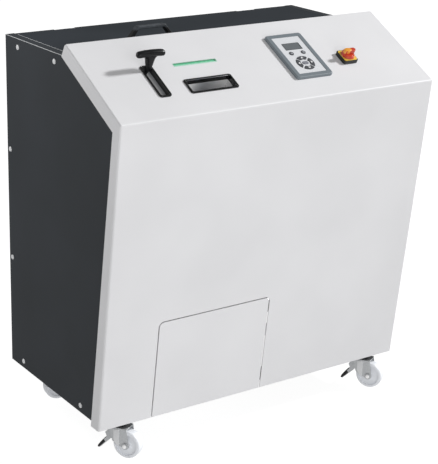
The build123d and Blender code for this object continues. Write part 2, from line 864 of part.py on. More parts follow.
key_places = {
    "left": (control_x - round_key_spread / 2, -round_key_down),
    "right": (control_x + round_key_spread / 2, -round_key_down),
}
arrows = {"up": 90, "down": 270, "left": 180, "right": 0}
with BuildPart() as control_face:
    with BuildSketch(slope.offset(face_level)):
        with Locations((control_x, -control_down)):
            Rectangle(*face_size)
        with Locations((control_x, -display_down)):
            Rectangle(display_size[0] + key_gap, display_size[1] + key_gap, mode=Mode.SUBTRACT)
        with Locations(*key_places.values()):
            Circle(round_key / 2 + key_gap, mode=Mode.SUBTRACT)
        with Locations((control_x, -pad_down)):
            Circle(pad_outer + key_gap, mode=Mode.SUBTRACT)
    extrude(amount=-face_sheet)
    # Web between the keys of the pad
    with BuildSketch(slope.offset(face_level)):
        with Locations((control_x, -pad_down)):
            Circle(pad_inner - key_gap)
            for turn in (45, 135):
                Rectangle(2 * pad_outer + 4 * key_gap, pad_key_split - 2 * key_gap, rotation=turn)
            SlotOverall(enter_key[0] + 2 * key_gap, enter_key[1] + 2 * key_gap, mode=Mode.SUBTRACT)
    extrude(amount=-face_sheet)
control_face.part.label = "control_face"
export_step(control_face.part, "parts/control_face.step")

with BuildPart() as display_window:
    with BuildSketch(slope.offset(face_level)):
        with Locations((control_x, -display_down)):
            Rectangle(*display_size)
    extrude(amount=-face_sheet)
    with BuildSketch(slope.offset(face_level - face_sheet)):
        with Locations((control_x, -display_down)):
            Rectangle(display_size[0] + 2 * face_ledge, display_size[1] + 2 * face_ledge)
    extrude(amount=-face_sheet)
display_window.part.label = "display_window"
export_step(display_window.part, "parts/display_window.step")

# Circuit board across the back of the bezel, where the keys land
with BuildPart() as control_board:
    with BuildSketch(slope.offset(-control_neck)):
        with Locations((control_x, -control_down)):
            Rectangle(*control_neck_size)
    extrude(amount=-board_thickness)
control_board.part.label = "control_board"
export_step(control_board.part, "parts/control_board.step")

# Keys: a cap through the face plate on a stem that ends above the board
key_level = face_level + key_rise
for side, place in key_places.items():
    with BuildPart() as round_button:
        with BuildSketch(slope.offset(key_level)):
            with Locations(place):
                Circle(round_key / 2)
        extrude(amount=-key_rise - face_sheet - key_travel)
        fillet(round_button.faces().sort_by(slope_axis)[-1].edges(), key_soft)
        with BuildSketch(slope.offset(face_level - face_sheet)):
            with Locations(place):
                Circle(round_key / 2 + key_collar)
        extrude(amount=-key_collar)
        with BuildSketch(slope.offset(face_level - face_sheet)):
            with Locations(place):
                Circle(key_stem)
        extrude(amount=-(face_level - face_sheet + control_neck - key_travel - key_clear))
    round_button.part.label = f"round_key_{side}"
    export_step(round_button.part, f"parts/round_key_{side}.step")

for name, turn in arrows.items():
    pad = Plane(slope.location * Location((control_x, -pad_down, key_level), (0, 0, turn)))
    with BuildPart() as arrow_key:
        with BuildSketch(pad):
            Circle(pad_outer)
            Circle(pad_inner, mode=Mode.SUBTRACT)
            with BuildLine():
                Polyline(
                    (pad_key_split / sqrt(2), 0),
                    (pad_outer * 2, pad_outer * 2 - pad_key_split / sqrt(2)),
                    (pad_outer * 2, pad_key_split / sqrt(2) - pad_outer * 2),
                    close=True,
                )
            make_face(mode=Mode.INTERSECT)
        extrude(amount=-key_rise - face_sheet - key_travel)
        fillet(arrow_key.edges().filter_by(slope_axis), pad_key_corner)
        chamfer(arrow_key.faces().sort_by(slope_axis)[-1].edges(), key_soft / 2)
        with BuildSketch(pad):
            with Locations(((pad_outer + pad_inner) / 2, 0)):
                Circle(key_stem)
        extrude(amount=-(key_level + control_neck - key_travel - key_clear))
    arrow_key.part.label = f"arrow_key_{name}"
    export_step(arrow_key.part, f"parts/arrow_key_{name}.step")

with BuildPart() as enter_button:
    with BuildSketch(slope.offset(key_level)):
        with Locations((control_x, -pad_down)):
            SlotOverall(*enter_key)
    extrude(amount=-key_rise - face_sheet - key_travel)
    chamfer(enter_button.faces().sort_by(slope_axis)[-1].edges(), key_soft / 2)
    with BuildSketch(slope.offset(face_level - face_sheet)):
        with Locations((control_x, -pad_down)):
            SlotOverall(enter_key[0] + 2 * key_collar, enter_key[1] + 2 * key_collar)
    extrude(amount=-key_collar)
    with BuildSketch(slope.offset(face_level - face_sheet)):
        with Locations((control_x, -pad_down)):
            Circle(key_stem)
    extrude(amount=-(face_level - face_sheet + control_neck - key_travel - key_clear))
enter_button.part.label = "enter_key"
export_step(enter_button.part, "parts/enter_key.step")

# Main switch
with BuildPart() as switch_body:
    with BuildSketch(slope):
        with Locations((switch_x, -switch_down)):
            RectangleRounded(switch_base[0], switch_base[0], switch_corner)
    extrude(amount=switch_base[1])
    fillet(switch_body.faces().sort_by(slope_axis)[-1].edges(), key_soft)
    with BuildSketch(slope):
        with Locations((switch_x, -switch_down)):
            Circle(switch_boss)
    extrude(amount=-switch_boss_length)
    with BuildSketch(slope.offset(-cover_sheet)):
        with Locations((switch_x, -switch_down)):
            RegularPolygon(switch_nut, 6)
    extrude(amount=-switch_nut_height)
    with BuildSketch(slope.offset(switch_base[1])):
        with Locations((switch_x, -switch_down)):
            Circle(knob_shaft + running_fit)
    extrude(amount=-switch_base[1], mode=Mode.SUBTRACT)
switch_body.part.label = "switch_body"
export_step(switch_body.part, "parts/switch_body.step")

with BuildPart() as switch_label_plate:
    with BuildSketch(slope.offset(switch_base[1])):
        with Locations((switch_x, -switch_down)):
            RectangleRounded(switch_plate[0], switch_plate[0], switch_corner - key_soft)
            Circle(knob_shaft + fit_gap, mode=Mode.SUBTRACT)
    extrude(amount=switch_plate[1])
switch_label_plate.part.label = "switch_plate"
export_step(switch_label_plate.part, "parts/switch_plate.step")

knob_level = switch_base[1] + switch_plate[1] + key_gap
with BuildPart() as switch_knob:
    with BuildSketch(slope.offset(knob_level)):
        with Locations((switch_x, -switch_down)):
            Circle(knob_radius)
    extrude(amount=knob_base, taper=knob_taper)
    with BuildSketch(slope.offset(knob_level)):
        with Locations((switch_x, -switch_down)):
            SlotOverall(grip_size[1], grip_size[0])
    extrude(amount=knob_base + grip_size[2])
    with BuildSketch(slope.offset(knob_level)):
        with Locations((switch_x, -switch_down)):
            Circle(knob_shaft)
    extrude(amount=-knob_level + key_gap)
    chamfer(switch_knob.faces().sort_by(slope_axis)[-1].edges(), key_soft)
switch_knob.part.label = "switch_knob"
export_step(switch_knob.part, "parts/switch_knob.step")

# Feed lever and its grip, leaning back at rest
lever_place = Plane(slope.location * Location((lever_x, -pivot_down, -pivot_depth), (-lever_rest, 0, 0)))
lever_face = Plane(origin=lever_place.origin, x_dir=(1, 0, 0), z_dir=-lever_place.y_dir)
with BuildPart() as feed_lever:
    with BuildSketch(lever_face) as stem:
        with BuildLine():
            Polyline(
                (-stem_width[0] / 2, 0),
                (stem_width[0] / 2, 0),
                (stem_width[0] / 2, lever_length - grip_radius - stem_flare),
                (stem_width[1] / 2, lever_length - grip_radius / 2),
                (-stem_width[1] / 2, lever_length - grip_radius / 2),
                (-stem_width[0] / 2, lever_length - grip_radius - stem_flare),
                close=True,
            )
        make_face()
        fillet(stem.vertices().sort_by(Axis.Y)[2:4], stem_sweep)
    extrude(amount=stem_thickness / 2, both=True)
    with BuildSketch(Plane.YZ.offset(lever_x)):
        with Locations(pivot):
            Circle(hub_radius)
    extrude(amount=hub_radius, both=True)
    with BuildSketch(Plane.YZ.offset(lever_x)):
        with Locations(pivot):
            Circle(shaft_radius + running_fit)
    extrude(amount=2 * hub_radius, both=True, mode=Mode.SUBTRACT)
feed_lever.part.label = "feed_lever"
export_step(feed_lever.part, "parts/feed_lever.step")

grip_centre = lever_face.from_local_coords((0, lever_length, 0))
with BuildPart() as lever_grip:
    with BuildSketch(lever_face):
        with BuildLine():
            half = grip_length / 2 - grip_end_radius
            end_bulge = grip_end_radius * cos(radians(45))
            barrel = ThreePointArc(
                (-half, lever_length + grip_end_radius),
                (0, lever_length + grip_radius),
                (half, lever_length + grip_end_radius),
            )
            left_end = ThreePointArc(
                barrel @ 0,
                (-half - end_bulge, lever_length + end_bulge),
                (-grip_length / 2, lever_length),
            )
            right_end = ThreePointArc(
                barrel @ 1,
                (half + end_bulge, lever_length + end_bulge),
                (grip_length / 2, lever_length),
            )
            Line(left_end @ 1, right_end @ 1)
        make_face()
    revolve(axis=Axis(grip_centre, (1, 0, 0)))
    add(feed_lever.part, mode=Mode.SUBTRACT)
lever_grip.part.label = "lever_grip"
export_step(lever_grip.part, "parts/lever_grip.step")

with BuildPart() as lever_shaft:
    with BuildSketch(Plane.YZ.offset(lever_x - hub_radius)):
        with Locations(pivot):
            Circle(shaft_radius)
    extrude(amount=bracket_x[1] + bush_length - lever_x + hub_radius)
    chamfer(lever_shaft.edges().filter_by(GeomType.CIRCLE), key_soft)
lever_shaft.part.label = "lever_shaft"
export_step(lever_shaft.part, "parts/lever_shaft.step")

# Sector gate that closes the bottom of the chute until the lever is pulled
gate_half = chute_inside[0] / 2 + chute_wall + gate_clear + gate_sheet
with BuildPart() as feed_gate:
    gate_plane = Plane(origin=(intake_x - gate_half, *pivot), x_dir=slope.z_dir, z_dir=(1, 0, 0))
    with BuildSketch(gate_plane):
        with BuildLine():
            outer = CenterArc((0, 0), gate_radius, gate_start, gate_sweep)
            inner = CenterArc((0, 0), gate_radius - gate_sheet, gate_start, gate_sweep)
            Line(outer @ 0, inner @ 0)
            Line(outer @ 1, inner @ 1)
        make_face()
    extrude(amount=2 * gate_half)
    for start, boss in ((0, -hub_radius), (2 * gate_half - gate_sheet, hub_radius)):
        with BuildSketch(gate_plane.offset(start)):
            with BuildLine():
                rim = CenterArc((0, 0), gate_radius, gate_start, gate_sweep)
                Line(rim @ 0, (0, 0))
                Line(rim @ 1, (0, 0))
            make_face()
            Circle(hub_radius)
            with PolarLocations(gate_lightening, 1, start_angle=gate_start + gate_sweep / 2):
                Circle(hub_radius, mode=Mode.SUBTRACT)
            Circle(shaft_radius + running_fit, mode=Mode.SUBTRACT)
        extrude(amount=gate_sheet)
        with BuildSketch(gate_plane.offset(start)):
            Circle(hub_radius)
            Circle(shaft_radius + running_fit, mode=Mode.SUBTRACT)
        extrude(amount=boss)
feed_gate.part.label = "feed_gate"
export_step(feed_gate.part, "parts/feed_gate.step")

# Brackets under the slope that carry the lever shaft, and their bushes
with BuildPart() as feed_brackets:
    for x in bracket_x:
        with BuildSketch(Plane.YZ.offset(x - bracket_sheet / 2)):
            with BuildLine():
                Polyline(
                    slope_point(pivot_down - 2 * hub_radius, -cover_sheet),
                    slope_point(pivot_down + 2 * hub_radius, -cover_sheet),
                    slope_point(pivot_down + hub_radius + bush_wall, -pivot_depth),
                    slope_point(pivot_down - hub_radius - bush_wall, -pivot_depth),
                    close=True,
                )
            make_face()
            with Locations(pivot):
                Circle(hub_radius + bush_wall)
                Circle(shaft_radius + bush_wall, mode=Mode.SUBTRACT)
        extrude(amount=bracket_sheet)
        with BuildSketch(slope.offset(-cover_sheet)):
            with Locations((x + hub_radius / 2, -pivot_down)):
                Rectangle(hub_radius + bracket_sheet, 4 * hub_radius)
        extrude(amount=-bracket_sheet)
feed_brackets.part.label = "feed_brackets"
export_step(feed_brackets.part, "parts/feed_brackets.step")

with BuildPart() as shaft_bushes:
    for x in bracket_x:
        with BuildSketch(Plane.YZ.offset(x)):
            with Locations(pivot):
                Circle(shaft_radius + bush_wall)
        extrude(amount=bush_length / 2, both=True)
        with BuildSketch(Plane.YZ.offset(x)):
            with Locations(pivot):
                Circle(shaft_radius + running_fit)
        extrude(amount=bush_length, both=True, mode=Mode.SUBTRACT)
shaft_bushes.part.label = "shaft_bushes"
export_step(shaft_bushes.part, "parts/shaft_bushes.step")

# Hopper from the gate down to the cutter, and the chute for the shreds between the beams
with BuildPart() as cutter_chutes:
    for wall, mode in ((0, Mode.ADD), (hopper_wall, Mode.SUBTRACT)):
        with BuildSketch(Plane.XY.offset(hopper_top_z)):
            with Locations((intake_x, sum(hopper_top) / 2)):
                Rectangle(2 * (gate_half - wall), hopper_top[1] - hopper_top[0] - 2 * wall)
        with BuildSketch(Plane.XY.offset(cutter_z + cutter_half_z)):
            with Locations((intake_x, cutter_y)):
                Rectangle(2 * (cutter_half_x - wall), hopper_mouth - 2 * wall)
        loft(mode=mode)
    with BuildSketch(Plane.XY.offset(cutter_z + cutter_half_z)):
        with Locations((intake_x, cutter_y)):
            Rectangle(2 * (cutter_half_x + cutter_plate), 2 * cutter_half_y)
            Rectangle(2 * (cutter_half_x - hopper_wall), hopper_mouth - 2 * hopper_wall, mode=Mode.SUBTRACT)
    extrude(amount=hopper_wall)
    with BuildSketch(Plane.XY.offset(beam_top)):
        with Locations((intake_x, discharge_y)):
            Rectangle(*discharge_size)
            offset(amount=-chute_wall, mode=Mode.SUBTRACT)
    extrude(amount=discharge_bottom_z - beam_top)
cutter_chutes.part.label = "cutter_chutes"
export_step(cutter_chutes.part, "parts/cutter_chutes.step")

# Cutter frame: two thick side plates and two tie walls
with BuildPart() as cutter_frame:
    for start in (-cutter_half_x - cutter_plate, cutter_half_x):
        with BuildSketch(Plane.YZ.offset(intake_x + start)):
            with Locations((cutter_y, cutter_z)):
                Rectangle(2 * cutter_half_y, 2 * cutter_half_z)
            with Locations(*[(y, cutter_z) for y in shaft_y]):
                Circle(bearing_radius, mode=Mode.SUBTRACT)
        extrude(amount=cutter_plate)
    with BuildSketch(Plane.YZ.offset(intake_x)):
        with Locations((cutter_y, cutter_z)):
            with GridLocations(2 * cutter_half_y - tie_wall, 0, 2, 1):
                Rectangle(tie_wall, 2 * cutter_half_z)
    extrude(amount=cutter_half_x, both=True)
    # Stripper fingers on the tie walls, reaching in between the discs
    reach = cutter_half_y - tie_wall - shaft_spacing / 2
    for slot in range(slot_count):
        start = intake_x + (slot - slot_count / 2) * slot_pitch
        wall_side = -1 if slot % 2 else 1
        y = shaft_y[0] if slot % 2 else shaft_y[1]
        with BuildSketch(Plane.YZ.offset(start + stripper_gap)):
            with Locations((y + wall_side * reach / 2, cutter_z)):
                Rectangle(reach, stripper_height)
            with Locations((y, cutter_z)):
                Circle(spacer_radius + stripper_gap, mode=Mode.SUBTRACT)
        extrude(amount=slot_pitch - 2 * stripper_gap)
cutter_frame.part.label = "cutter_frame"
export_step(cutter_frame.part, "parts/cutter_frame.step")

with BuildPart() as cutter_bearings:
    for start in (-cutter_half_x - cutter_plate, cutter_half_x):
        with BuildSketch(Plane.YZ.offset(intake_x + start)):
            with Locations(*[(y, cutter_z) for y in shaft_y]):
                Circle(bearing_radius)
                Circle(journal_radius + running_fit, mode=Mode.SUBTRACT)
        extrude(amount=cutter_plate)
cutter_bearings.part.label = "cutter_bearings"
export_step(cutter_bearings.part, "parts/cutter_bearings.step")

# Two shafts with one spur gear each, and their stacks of hooked discs and spacers
module = shaft_spacing / gear_teeth
half_tooth = module * tooth_share
tip = module * tip_height
shaft_left = intake_x - cutter_half_x - cutter_plate
gear_x = intake_x + cutter_half_x + cutter_plate + gear_gap
gearbox_left = gearbox_x - gearbox_size[0] / 2
shaft_right = {"front": gear_x + gear_width, "rear": gearbox_left + bore_depth}
for name, y, first, way in (("front", shaft_y[0], 0, 1), ("rear", shaft_y[1], 1, -1)):
    with BuildPart() as shaft:
        with BuildSketch(Plane.YZ.offset(intake_x - cutter_half_x + side_clearance)):
            with Locations((y, cutter_z)):
                RegularPolygon(hex_flats / 2, 6, major_radius=False)
        extrude(amount=2 * (cutter_half_x - side_clearance))
        with BuildSketch(Plane.YZ.offset(shaft_left)):
            with Locations((y, cutter_z)):
                Circle(journal_radius)
        extrude(amount=shaft_right[name] - shaft_left)
        # Spur gear pressed on beside the side plate
        with BuildSketch(Plane.YZ.offset(gear_x)):
            with Locations((y, cutter_z)):
                Circle(shaft_spacing / 2 - root_depth * module)
                with PolarLocations(0, gear_teeth, start_angle=180 / gear_teeth if way < 0 else 0):
                    Polygon(
                        (shaft_spacing / 2 - 2 * module, -half_tooth - 2 * module * tan(tooth_angle)),
                        (shaft_spacing / 2 + tip, tip * tan(tooth_angle) - half_tooth),
                        (shaft_spacing / 2 + tip, half_tooth - tip * tan(tooth_angle)),
                        (shaft_spacing / 2 - 2 * module, half_tooth + 2 * module * tan(tooth_angle)),
                        align=None,
                    )
                Circle(journal_radius + running_fit, mode=Mode.SUBTRACT)
        extrude(amount=gear_width)
    shaft.part.label = f"cutter_shaft_{name}"
    export_step(shaft.part, f"parts/cutter_shaft_{name}.step")

    with BuildPart() as discs:
        for slot in range(slot_count):
            start = intake_x + (slot - slot_count / 2) * slot_pitch
            is_disc = slot % 2 == first
            grow = -side_clearance if is_disc else side_clearance
            with BuildSketch(Plane.YZ.offset(start - grow)):
                with Locations((y, cutter_z)):
                    Circle(disc_radius if is_disc else spacer_radius)
                    if is_disc:
                        with PolarLocations(0, hook_count, start_angle=slot * hook_step):
                            Polygon(
                                (hook_radius, 0),
                                (disc_radius - hook_undercut, way * hook_undercut),
                                (disc_radius * cos(hook_back), -way * disc_radius * sin(hook_back)),
                                (hook_radius * cos(hook_land), -way * hook_radius * sin(hook_land)),
                                align=None,
                            )
                    RegularPolygon(hex_flats / 2 + running_fit, 6, major_radius=False, mode=Mode.SUBTRACT)
            extrude(amount=slot_pitch + 2 * grow)
    discs.part.label = f"cutter_discs_{name}"
    export_step(discs.part, f"parts/cutter_discs_{name}.step")

# Gearbox and motor on the rear shaft
with BuildPart() as gearbox:
    with BuildSketch(Plane.XY.offset(beam_top)):
        with Locations((gearbox_x, sum(beam_y) / 2)):
            Rectangle(gearbox_size[0], beam_y[1] - beam_y[0] + beam)
    extrude(amount=gearbox_foot)
    with BuildSketch(Plane.YZ.offset(gearbox_left)):
        with Locations((shaft_y[1], cutter_z)):
            RectangleRounded(gearbox_size[1], gearbox_size[2], gearbox_foot)
    extrude(amount=gearbox_size[0])
    with BuildSketch(Plane.YZ.offset(gearbox_left)):
        with Locations((shaft_y[1], cutter_z)):
            Circle(bearing_radius + gearbox_foot)
    extrude(amount=-gearbox_foot / 2)
    with BuildSketch(Plane.YZ.offset(gearbox_left - gearbox_foot)):
        with Locations((shaft_y[1], cutter_z)):
            Circle(journal_radius + running_fit)
    extrude(amount=gearbox_foot + bore_depth + panel_gap, mode=Mode.SUBTRACT)
gearbox.part.label = "gearbox"
export_step(gearbox.part, "parts/gearbox.step")

with BuildPart() as motor:
    with BuildSketch(Plane.YZ.offset(gearbox_left + gearbox_size[0])):
        with Locations((shaft_y[1], cutter_z)):
            Circle(motor_radius - fin_height)
            with PolarLocations(motor_radius - fin_height, motor_fins):
                Rectangle(2 * fin_height, fin_width)
    extrude(amount=motor_length)
    with BuildSketch(Plane.YZ.offset(gearbox_left + gearbox_size[0])):
        with Locations((shaft_y[1], cutter_z)):
            Circle(motor_radius + fin_width)
    extrude(amount=2 * fin_height)
    with BuildSketch(Plane.YZ.offset(gearbox_left + gearbox_size[0] + motor_length - cowl_length)):
        with Locations((shaft_y[1], cutter_z)):
            Circle(motor_radius + fin_width)
    extrude(amount=cowl_length)
    fillet(motor.faces().sort_by(Axis.X)[-1].edges(), fin_height)
    with BuildSketch(Plane.XY.offset(cutter_z + motor_radius - fin_height)):
        with Locations((gearbox_left + gearbox_size[0] + motor_length / 2, shaft_y[1])):
            Rectangle(terminal_box[0], terminal_box[1])
    extrude(amount=terminal_box[2])
motor.part.label = "motor"
export_step(motor.part, "parts/motor.step")

# Electrics plate across the rear rail, with its switchgear
rail_face = frame_rear - channel_wall - rail
with BuildPart() as electrics_panel:
    with BuildSketch(Plane.XZ.offset(-rail_face)):
        with Locations((sum(plate_x) / 2, sum(plate_z) / 2)):
            Rectangle(plate_x[1] - plate_x[0], plate_z[1] - plate_z[0])
    extrude(amount=cover_sheet)
    for x, z, size_x, size_z, out in gear_boxes:
        with BuildSketch(Plane.XZ.offset(cover_sheet - rail_face)):
            with Locations((x, z)):
                Rectangle(size_x, size_z)
        extrude(amount=out)
        with BuildSketch(Plane.XZ.offset(cover_sheet - rail_face + out)):
            with Locations((x, z)):
                Rectangle(size_x - 2 * gear_step, size_z - 4 * gear_step)
        extrude(amount=gear_step)
electrics_panel.part.label = "electrics_panel"
export_step(electrics_panel.part, "parts/electrics_panel.step")

# Drawer: door pan and bin, sliding on two bars
with BuildPart() as drawer_door:
    with BuildSketch(front):
        with BuildLine():
            Polyline(
                (door_x - door_width / 2, -door_top),
                (door_x + door_width / 2, -door_top),
                (door_x + door_width / 2, -front_length),
                (door_x - door_width / 2, -front_length),
                close=True,
            )
        make_face()
    extrude(amount=-door_depth)
    fillet(drawer_door.edges().filter_by(Axis((0, 0, 0), front.z_dir)).sort_by(Axis.Z)[-2:], door_corner)
    fillet(drawer_door.faces().sort_by(Axis.Y)[0].edges().sort_by(Axis.Z)[1:], door_soft)
    with BuildSketch(front.offset(-cover_sheet)):
        with Locations((door_x, -(door_top + front_length) / 2)):
            RectangleRounded(
                door_width - 2 * cover_sheet,
                front_length - door_top - 2 * cover_sheet,
                door_corner - cover_sheet,
            )
    extrude(amount=-door_depth, mode=Mode.SUBTRACT)
    # Finger pull in the upper return
    with BuildSketch(front.offset(-pull_sink)):
        with Locations((door_x, -door_top)):
            Rectangle(pull_width, 2 * pull_height)
    extrude(amount=-door_depth, mode=Mode.SUBTRACT)
drawer_door.part.label = "drawer_door"
export_step(drawer_door.part, "parts/drawer_door.step")

with BuildPart() as waste_bin:
    for wall, mode in ((0, Mode.ADD), (bin_sheet, Mode.SUBTRACT)):
        with BuildSketch(Plane.YZ.offset(door_x)):
            with BuildLine():
                Polyline(
                    front_point(bin_base_z + wall, cover_sheet + wall),
                    front_point(bin_top_z + wall, cover_sheet + wall),
                    (bin_rear + bin_rake - wall, bin_top_z + wall),
                    (bin_rear - wall, bin_base_z + wall),
                    close=True,
                )
            make_face()
        extrude(amount=bin_width / 2 - wall, both=True, mode=mode)
    # Slide bars along its sides, up to the door
    for side in (-1, 1):
        with BuildSketch(Plane.XZ.offset(-bin_rear)):
            with Locations((door_x + side * (bin_width + slide_bar[0]) / 2, bin_base_z + slide_bar[1] / 2)):
                Rectangle(*slide_bar)
        extrude(amount=bin_rear - front_point(bin_base_z, cover_sheet)[0])
waste_bin.part.label = "waste_bin"
export_step(waste_bin.part, "parts/waste_bin.step")

with BuildPart() as drawer_runners:
    for side in (-1, 1):
        inside = door_x + side * (bin_width / 2 + slide_gap)
        outside = inside + side * (slide_bar[0] + runner_wall)
        with BuildSketch(Plane.XZ.offset(-rear_caster[1] - rail / 2)):
            with BuildLine():
                Polyline(
                    (inside, bin_base_z - slide_gap - runner_wall),
                    (outside, bin_base_z - slide_gap - runner_wall),
                    (outside, bin_base_z + slide_bar[1] + slide_gap + runner_wall),
                    (inside, bin_base_z + slide_bar[1] + slide_gap + runner_wall),
                    (inside, bin_base_z + slide_bar[1] + slide_gap),
                    (outside - side * runner_wall, bin_base_z + slide_bar[1] + slide_gap),
                    (outside - side * runner_wall, bin_base_z - slide_gap),
                    (inside, bin_base_z - slide_gap),
                    close=True,
                )
            make_face()
        extrude(amount=rear_caster[1] - front_rail_y + rail)
drawer_runners.part.label = "drawer_runners"
export_step(drawer_runners.part, "parts/drawer_runners.step")

# Casters: top plates with ball races, bolted under the corner plates
plate_top = bottom_rail_z - rail / 2 - corner_plate
swivels = {
    "front_left": (-front_caster[0], front_caster[1], front_heading),
    "front_right": (front_caster[0], front_caster[1], front_heading),
    "rear_left": (-rear_caster[0], rear_caster[1], rear_headings[0]),
    "rear_right": (rear_caster[0], rear_caster[1], rear_headings[1]),
}
with BuildPart() as caster_plates:
    for x, y, heading in swivels.values():
        with BuildSketch(Plane.XY.offset(plate_top)):
            with Locations((x, y)):
                RectangleRounded(caster_plate, caster_plate, bolt_radius)
                with GridLocations(bolt_spacing, bolt_spacing, 2, 2):
                    Circle(bolt_radius, mode=Mode.SUBTRACT)
        extrude(amount=-plate_sheet)
        with BuildSketch(Plane.XY.offset(plate_top - plate_sheet)):
            with Locations((x, y)):
                Circle(race_radius)
        extrude(amount=fork_crown_z + fork_gap / 4 + plate_sheet - plate_top)
        with BuildSketch(Plane.XY.offset(fork_crown_z)):
            with Locations((x, y)):
                Circle(king_radius + running_fit)
        extrude(amount=king_length, mode=Mode.SUBTRACT)
        with BuildSketch(Plane.XY.offset(plate_top - plate_sheet)):
            with Locations((x, y)):
                with GridLocations(bolt_spacing, bolt_spacing, 2, 2):
                    RegularPolygon(bolt_head, 6)
        extrude(amount=-bolt_head_height)
        with BuildSketch(Plane.XY.offset(plate_top - plate_sheet)):
            with Locations((x, y)):
                with GridLocations(bolt_spacing, bolt_spacing, 2, 2):
                    Circle(bolt_radius - running_fit)
        extrude(amount=plate_sheet + corner_plate)
caster_plates.part.label = "caster_plates"
export_step(caster_plates.part, "parts/caster_plates.step")

for name, (x, y, heading) in swivels.items():
    way = (cos(radians(heading)), sin(radians(heading)), 0)
    rolling = Plane(origin=(x, y, 0), x_dir=way, z_dir=(way[1], -way[0], 0))
    leg_inside = wheel_width / 2 + fork_gap
    with BuildPart() as fork:
        for start in (leg_inside, -leg_inside - fork_sheet):
            with BuildSketch(rolling.offset(start)):
                with BuildLine():
                    Polyline(
                        (fork_crown[0], fork_crown_z),
                        (fork_crown[1], fork_crown_z),
                        (caster_trail + fork_end_radius, wheel_radius),
                        (caster_trail, wheel_radius - fork_end_radius),
                        fork_heel,
                        (fork_crown[0], fork_crown_z - fork_shoulder),
                        close=True,
                    )
                make_face()
                with Locations((caster_trail, wheel_radius)):
                    Circle(fork_end_radius)
            extrude(amount=fork_sheet)
        with BuildSketch(Plane(origin=(x, y, fork_crown_z), x_dir=way, z_dir=(0, 0, 1))):
            with Locations((sum(fork_crown) / 2, 0)):
                Rectangle(fork_crown[1] - fork_crown[0], 2 * (leg_inside + fork_sheet))
        extrude(amount=-fork_sheet)
        with BuildSketch(Plane.XY.offset(fork_crown_z)):
            with Locations((x, y)):
                Circle(king_radius)
        extrude(amount=king_length - fork_gap / 4)
        with BuildSketch(rolling.offset(-leg_inside - fork_sheet)):
            with Locations((caster_trail, wheel_radius)):
                Circle(axle_radius)
        extrude(amount=2 * (leg_inside + fork_sheet))
        for start, out in ((leg_inside + fork_sheet, axle_cap), (-leg_inside - fork_sheet, -axle_cap)):
            with BuildSketch(rolling.offset(start)):
                with Locations((caster_trail, wheel_radius)):
                    Circle(axle_head)
            extrude(amount=out)
        if name.startswith("front"):
            with BuildSketch(rolling):
                with Locations(pedal_pivot):
                    Circle(pedal_pin)
            extrude(amount=leg_inside + fork_sheet, both=True)
    fork.part.label = f"fork_{name}"
    export_step(fork.part, f"parts/fork_{name}.step")

    with BuildPart() as wheel:
        with BuildSketch(rolling):
            with Locations((caster_trail, wheel_radius)):
                Circle(wheel_radius)
        extrude(amount=wheel_width / 2, both=True)
        fillet(wheel.edges(), wheel_soft)
        for start, depth_way in ((wheel_width / 2, -1), (-wheel_width / 2, 1)):
            with BuildSketch(rolling.offset(start)):
                with Locations((caster_trail, wheel_radius)):
                    Circle(wheel_recess[0])
                    Circle(wheel_recess[1], mode=Mode.SUBTRACT)
            extrude(amount=depth_way * wheel_recess[2], mode=Mode.SUBTRACT)
        with BuildSketch(rolling):
            with Locations((caster_trail, wheel_radius)):
                Circle(axle_radius + running_fit)
        extrude(amount=wheel_width, both=True, mode=Mode.SUBTRACT)
    wheel.part.label = f"wheel_{name}"
    export_step(wheel.part, f"parts/wheel_{name}.step")

    if name.startswith("front"):
        with BuildPart() as pedal:
            with BuildSketch(rolling):
                with BuildLine():
                    Polyline(
                        (pedal_pivot[0] + pedal_pin, pedal_pivot[1] - pedal_pin),
                        *pedal_arm,
                        (pedal_pivot[0] - pedal_pin, pedal_pivot[1] + pedal_sheet),
                        close=True,
                    )
                make_face()
            extrude(amount=pedal_width / 2, both=True)
            with BuildSketch(rolling):
                with Locations(pedal_pivot):
                    Circle(pedal_pin + pedal_sheet / 2)
            extrude(amount=leg_inside - fork_gap / 4, both=True)
            with BuildSketch(rolling):
                with Locations(pedal_pivot):
                    Circle(pedal_pin + running_fit)
            extrude(amount=2 * pedal_width, both=True, mode=Mode.SUBTRACT)
        pedal.part.label = f"brake_pedal_{name}"
        export_step(pedal.part, f"parts/brake_pedal_{name}.step")
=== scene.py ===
import math

import bmesh
import bpy
from mathutils import Matrix, Vector


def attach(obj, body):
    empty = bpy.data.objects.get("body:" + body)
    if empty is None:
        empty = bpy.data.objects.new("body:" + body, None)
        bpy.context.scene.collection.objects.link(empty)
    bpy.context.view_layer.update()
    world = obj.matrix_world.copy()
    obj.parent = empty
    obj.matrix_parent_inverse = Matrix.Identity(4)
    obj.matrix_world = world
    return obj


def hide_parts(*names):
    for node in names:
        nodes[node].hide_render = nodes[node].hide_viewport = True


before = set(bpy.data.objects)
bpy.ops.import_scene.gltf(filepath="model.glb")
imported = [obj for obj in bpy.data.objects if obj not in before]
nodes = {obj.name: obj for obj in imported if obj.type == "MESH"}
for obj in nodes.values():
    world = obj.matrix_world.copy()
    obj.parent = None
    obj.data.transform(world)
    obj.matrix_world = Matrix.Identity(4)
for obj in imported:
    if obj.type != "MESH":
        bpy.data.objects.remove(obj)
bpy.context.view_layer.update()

MM = 0.001

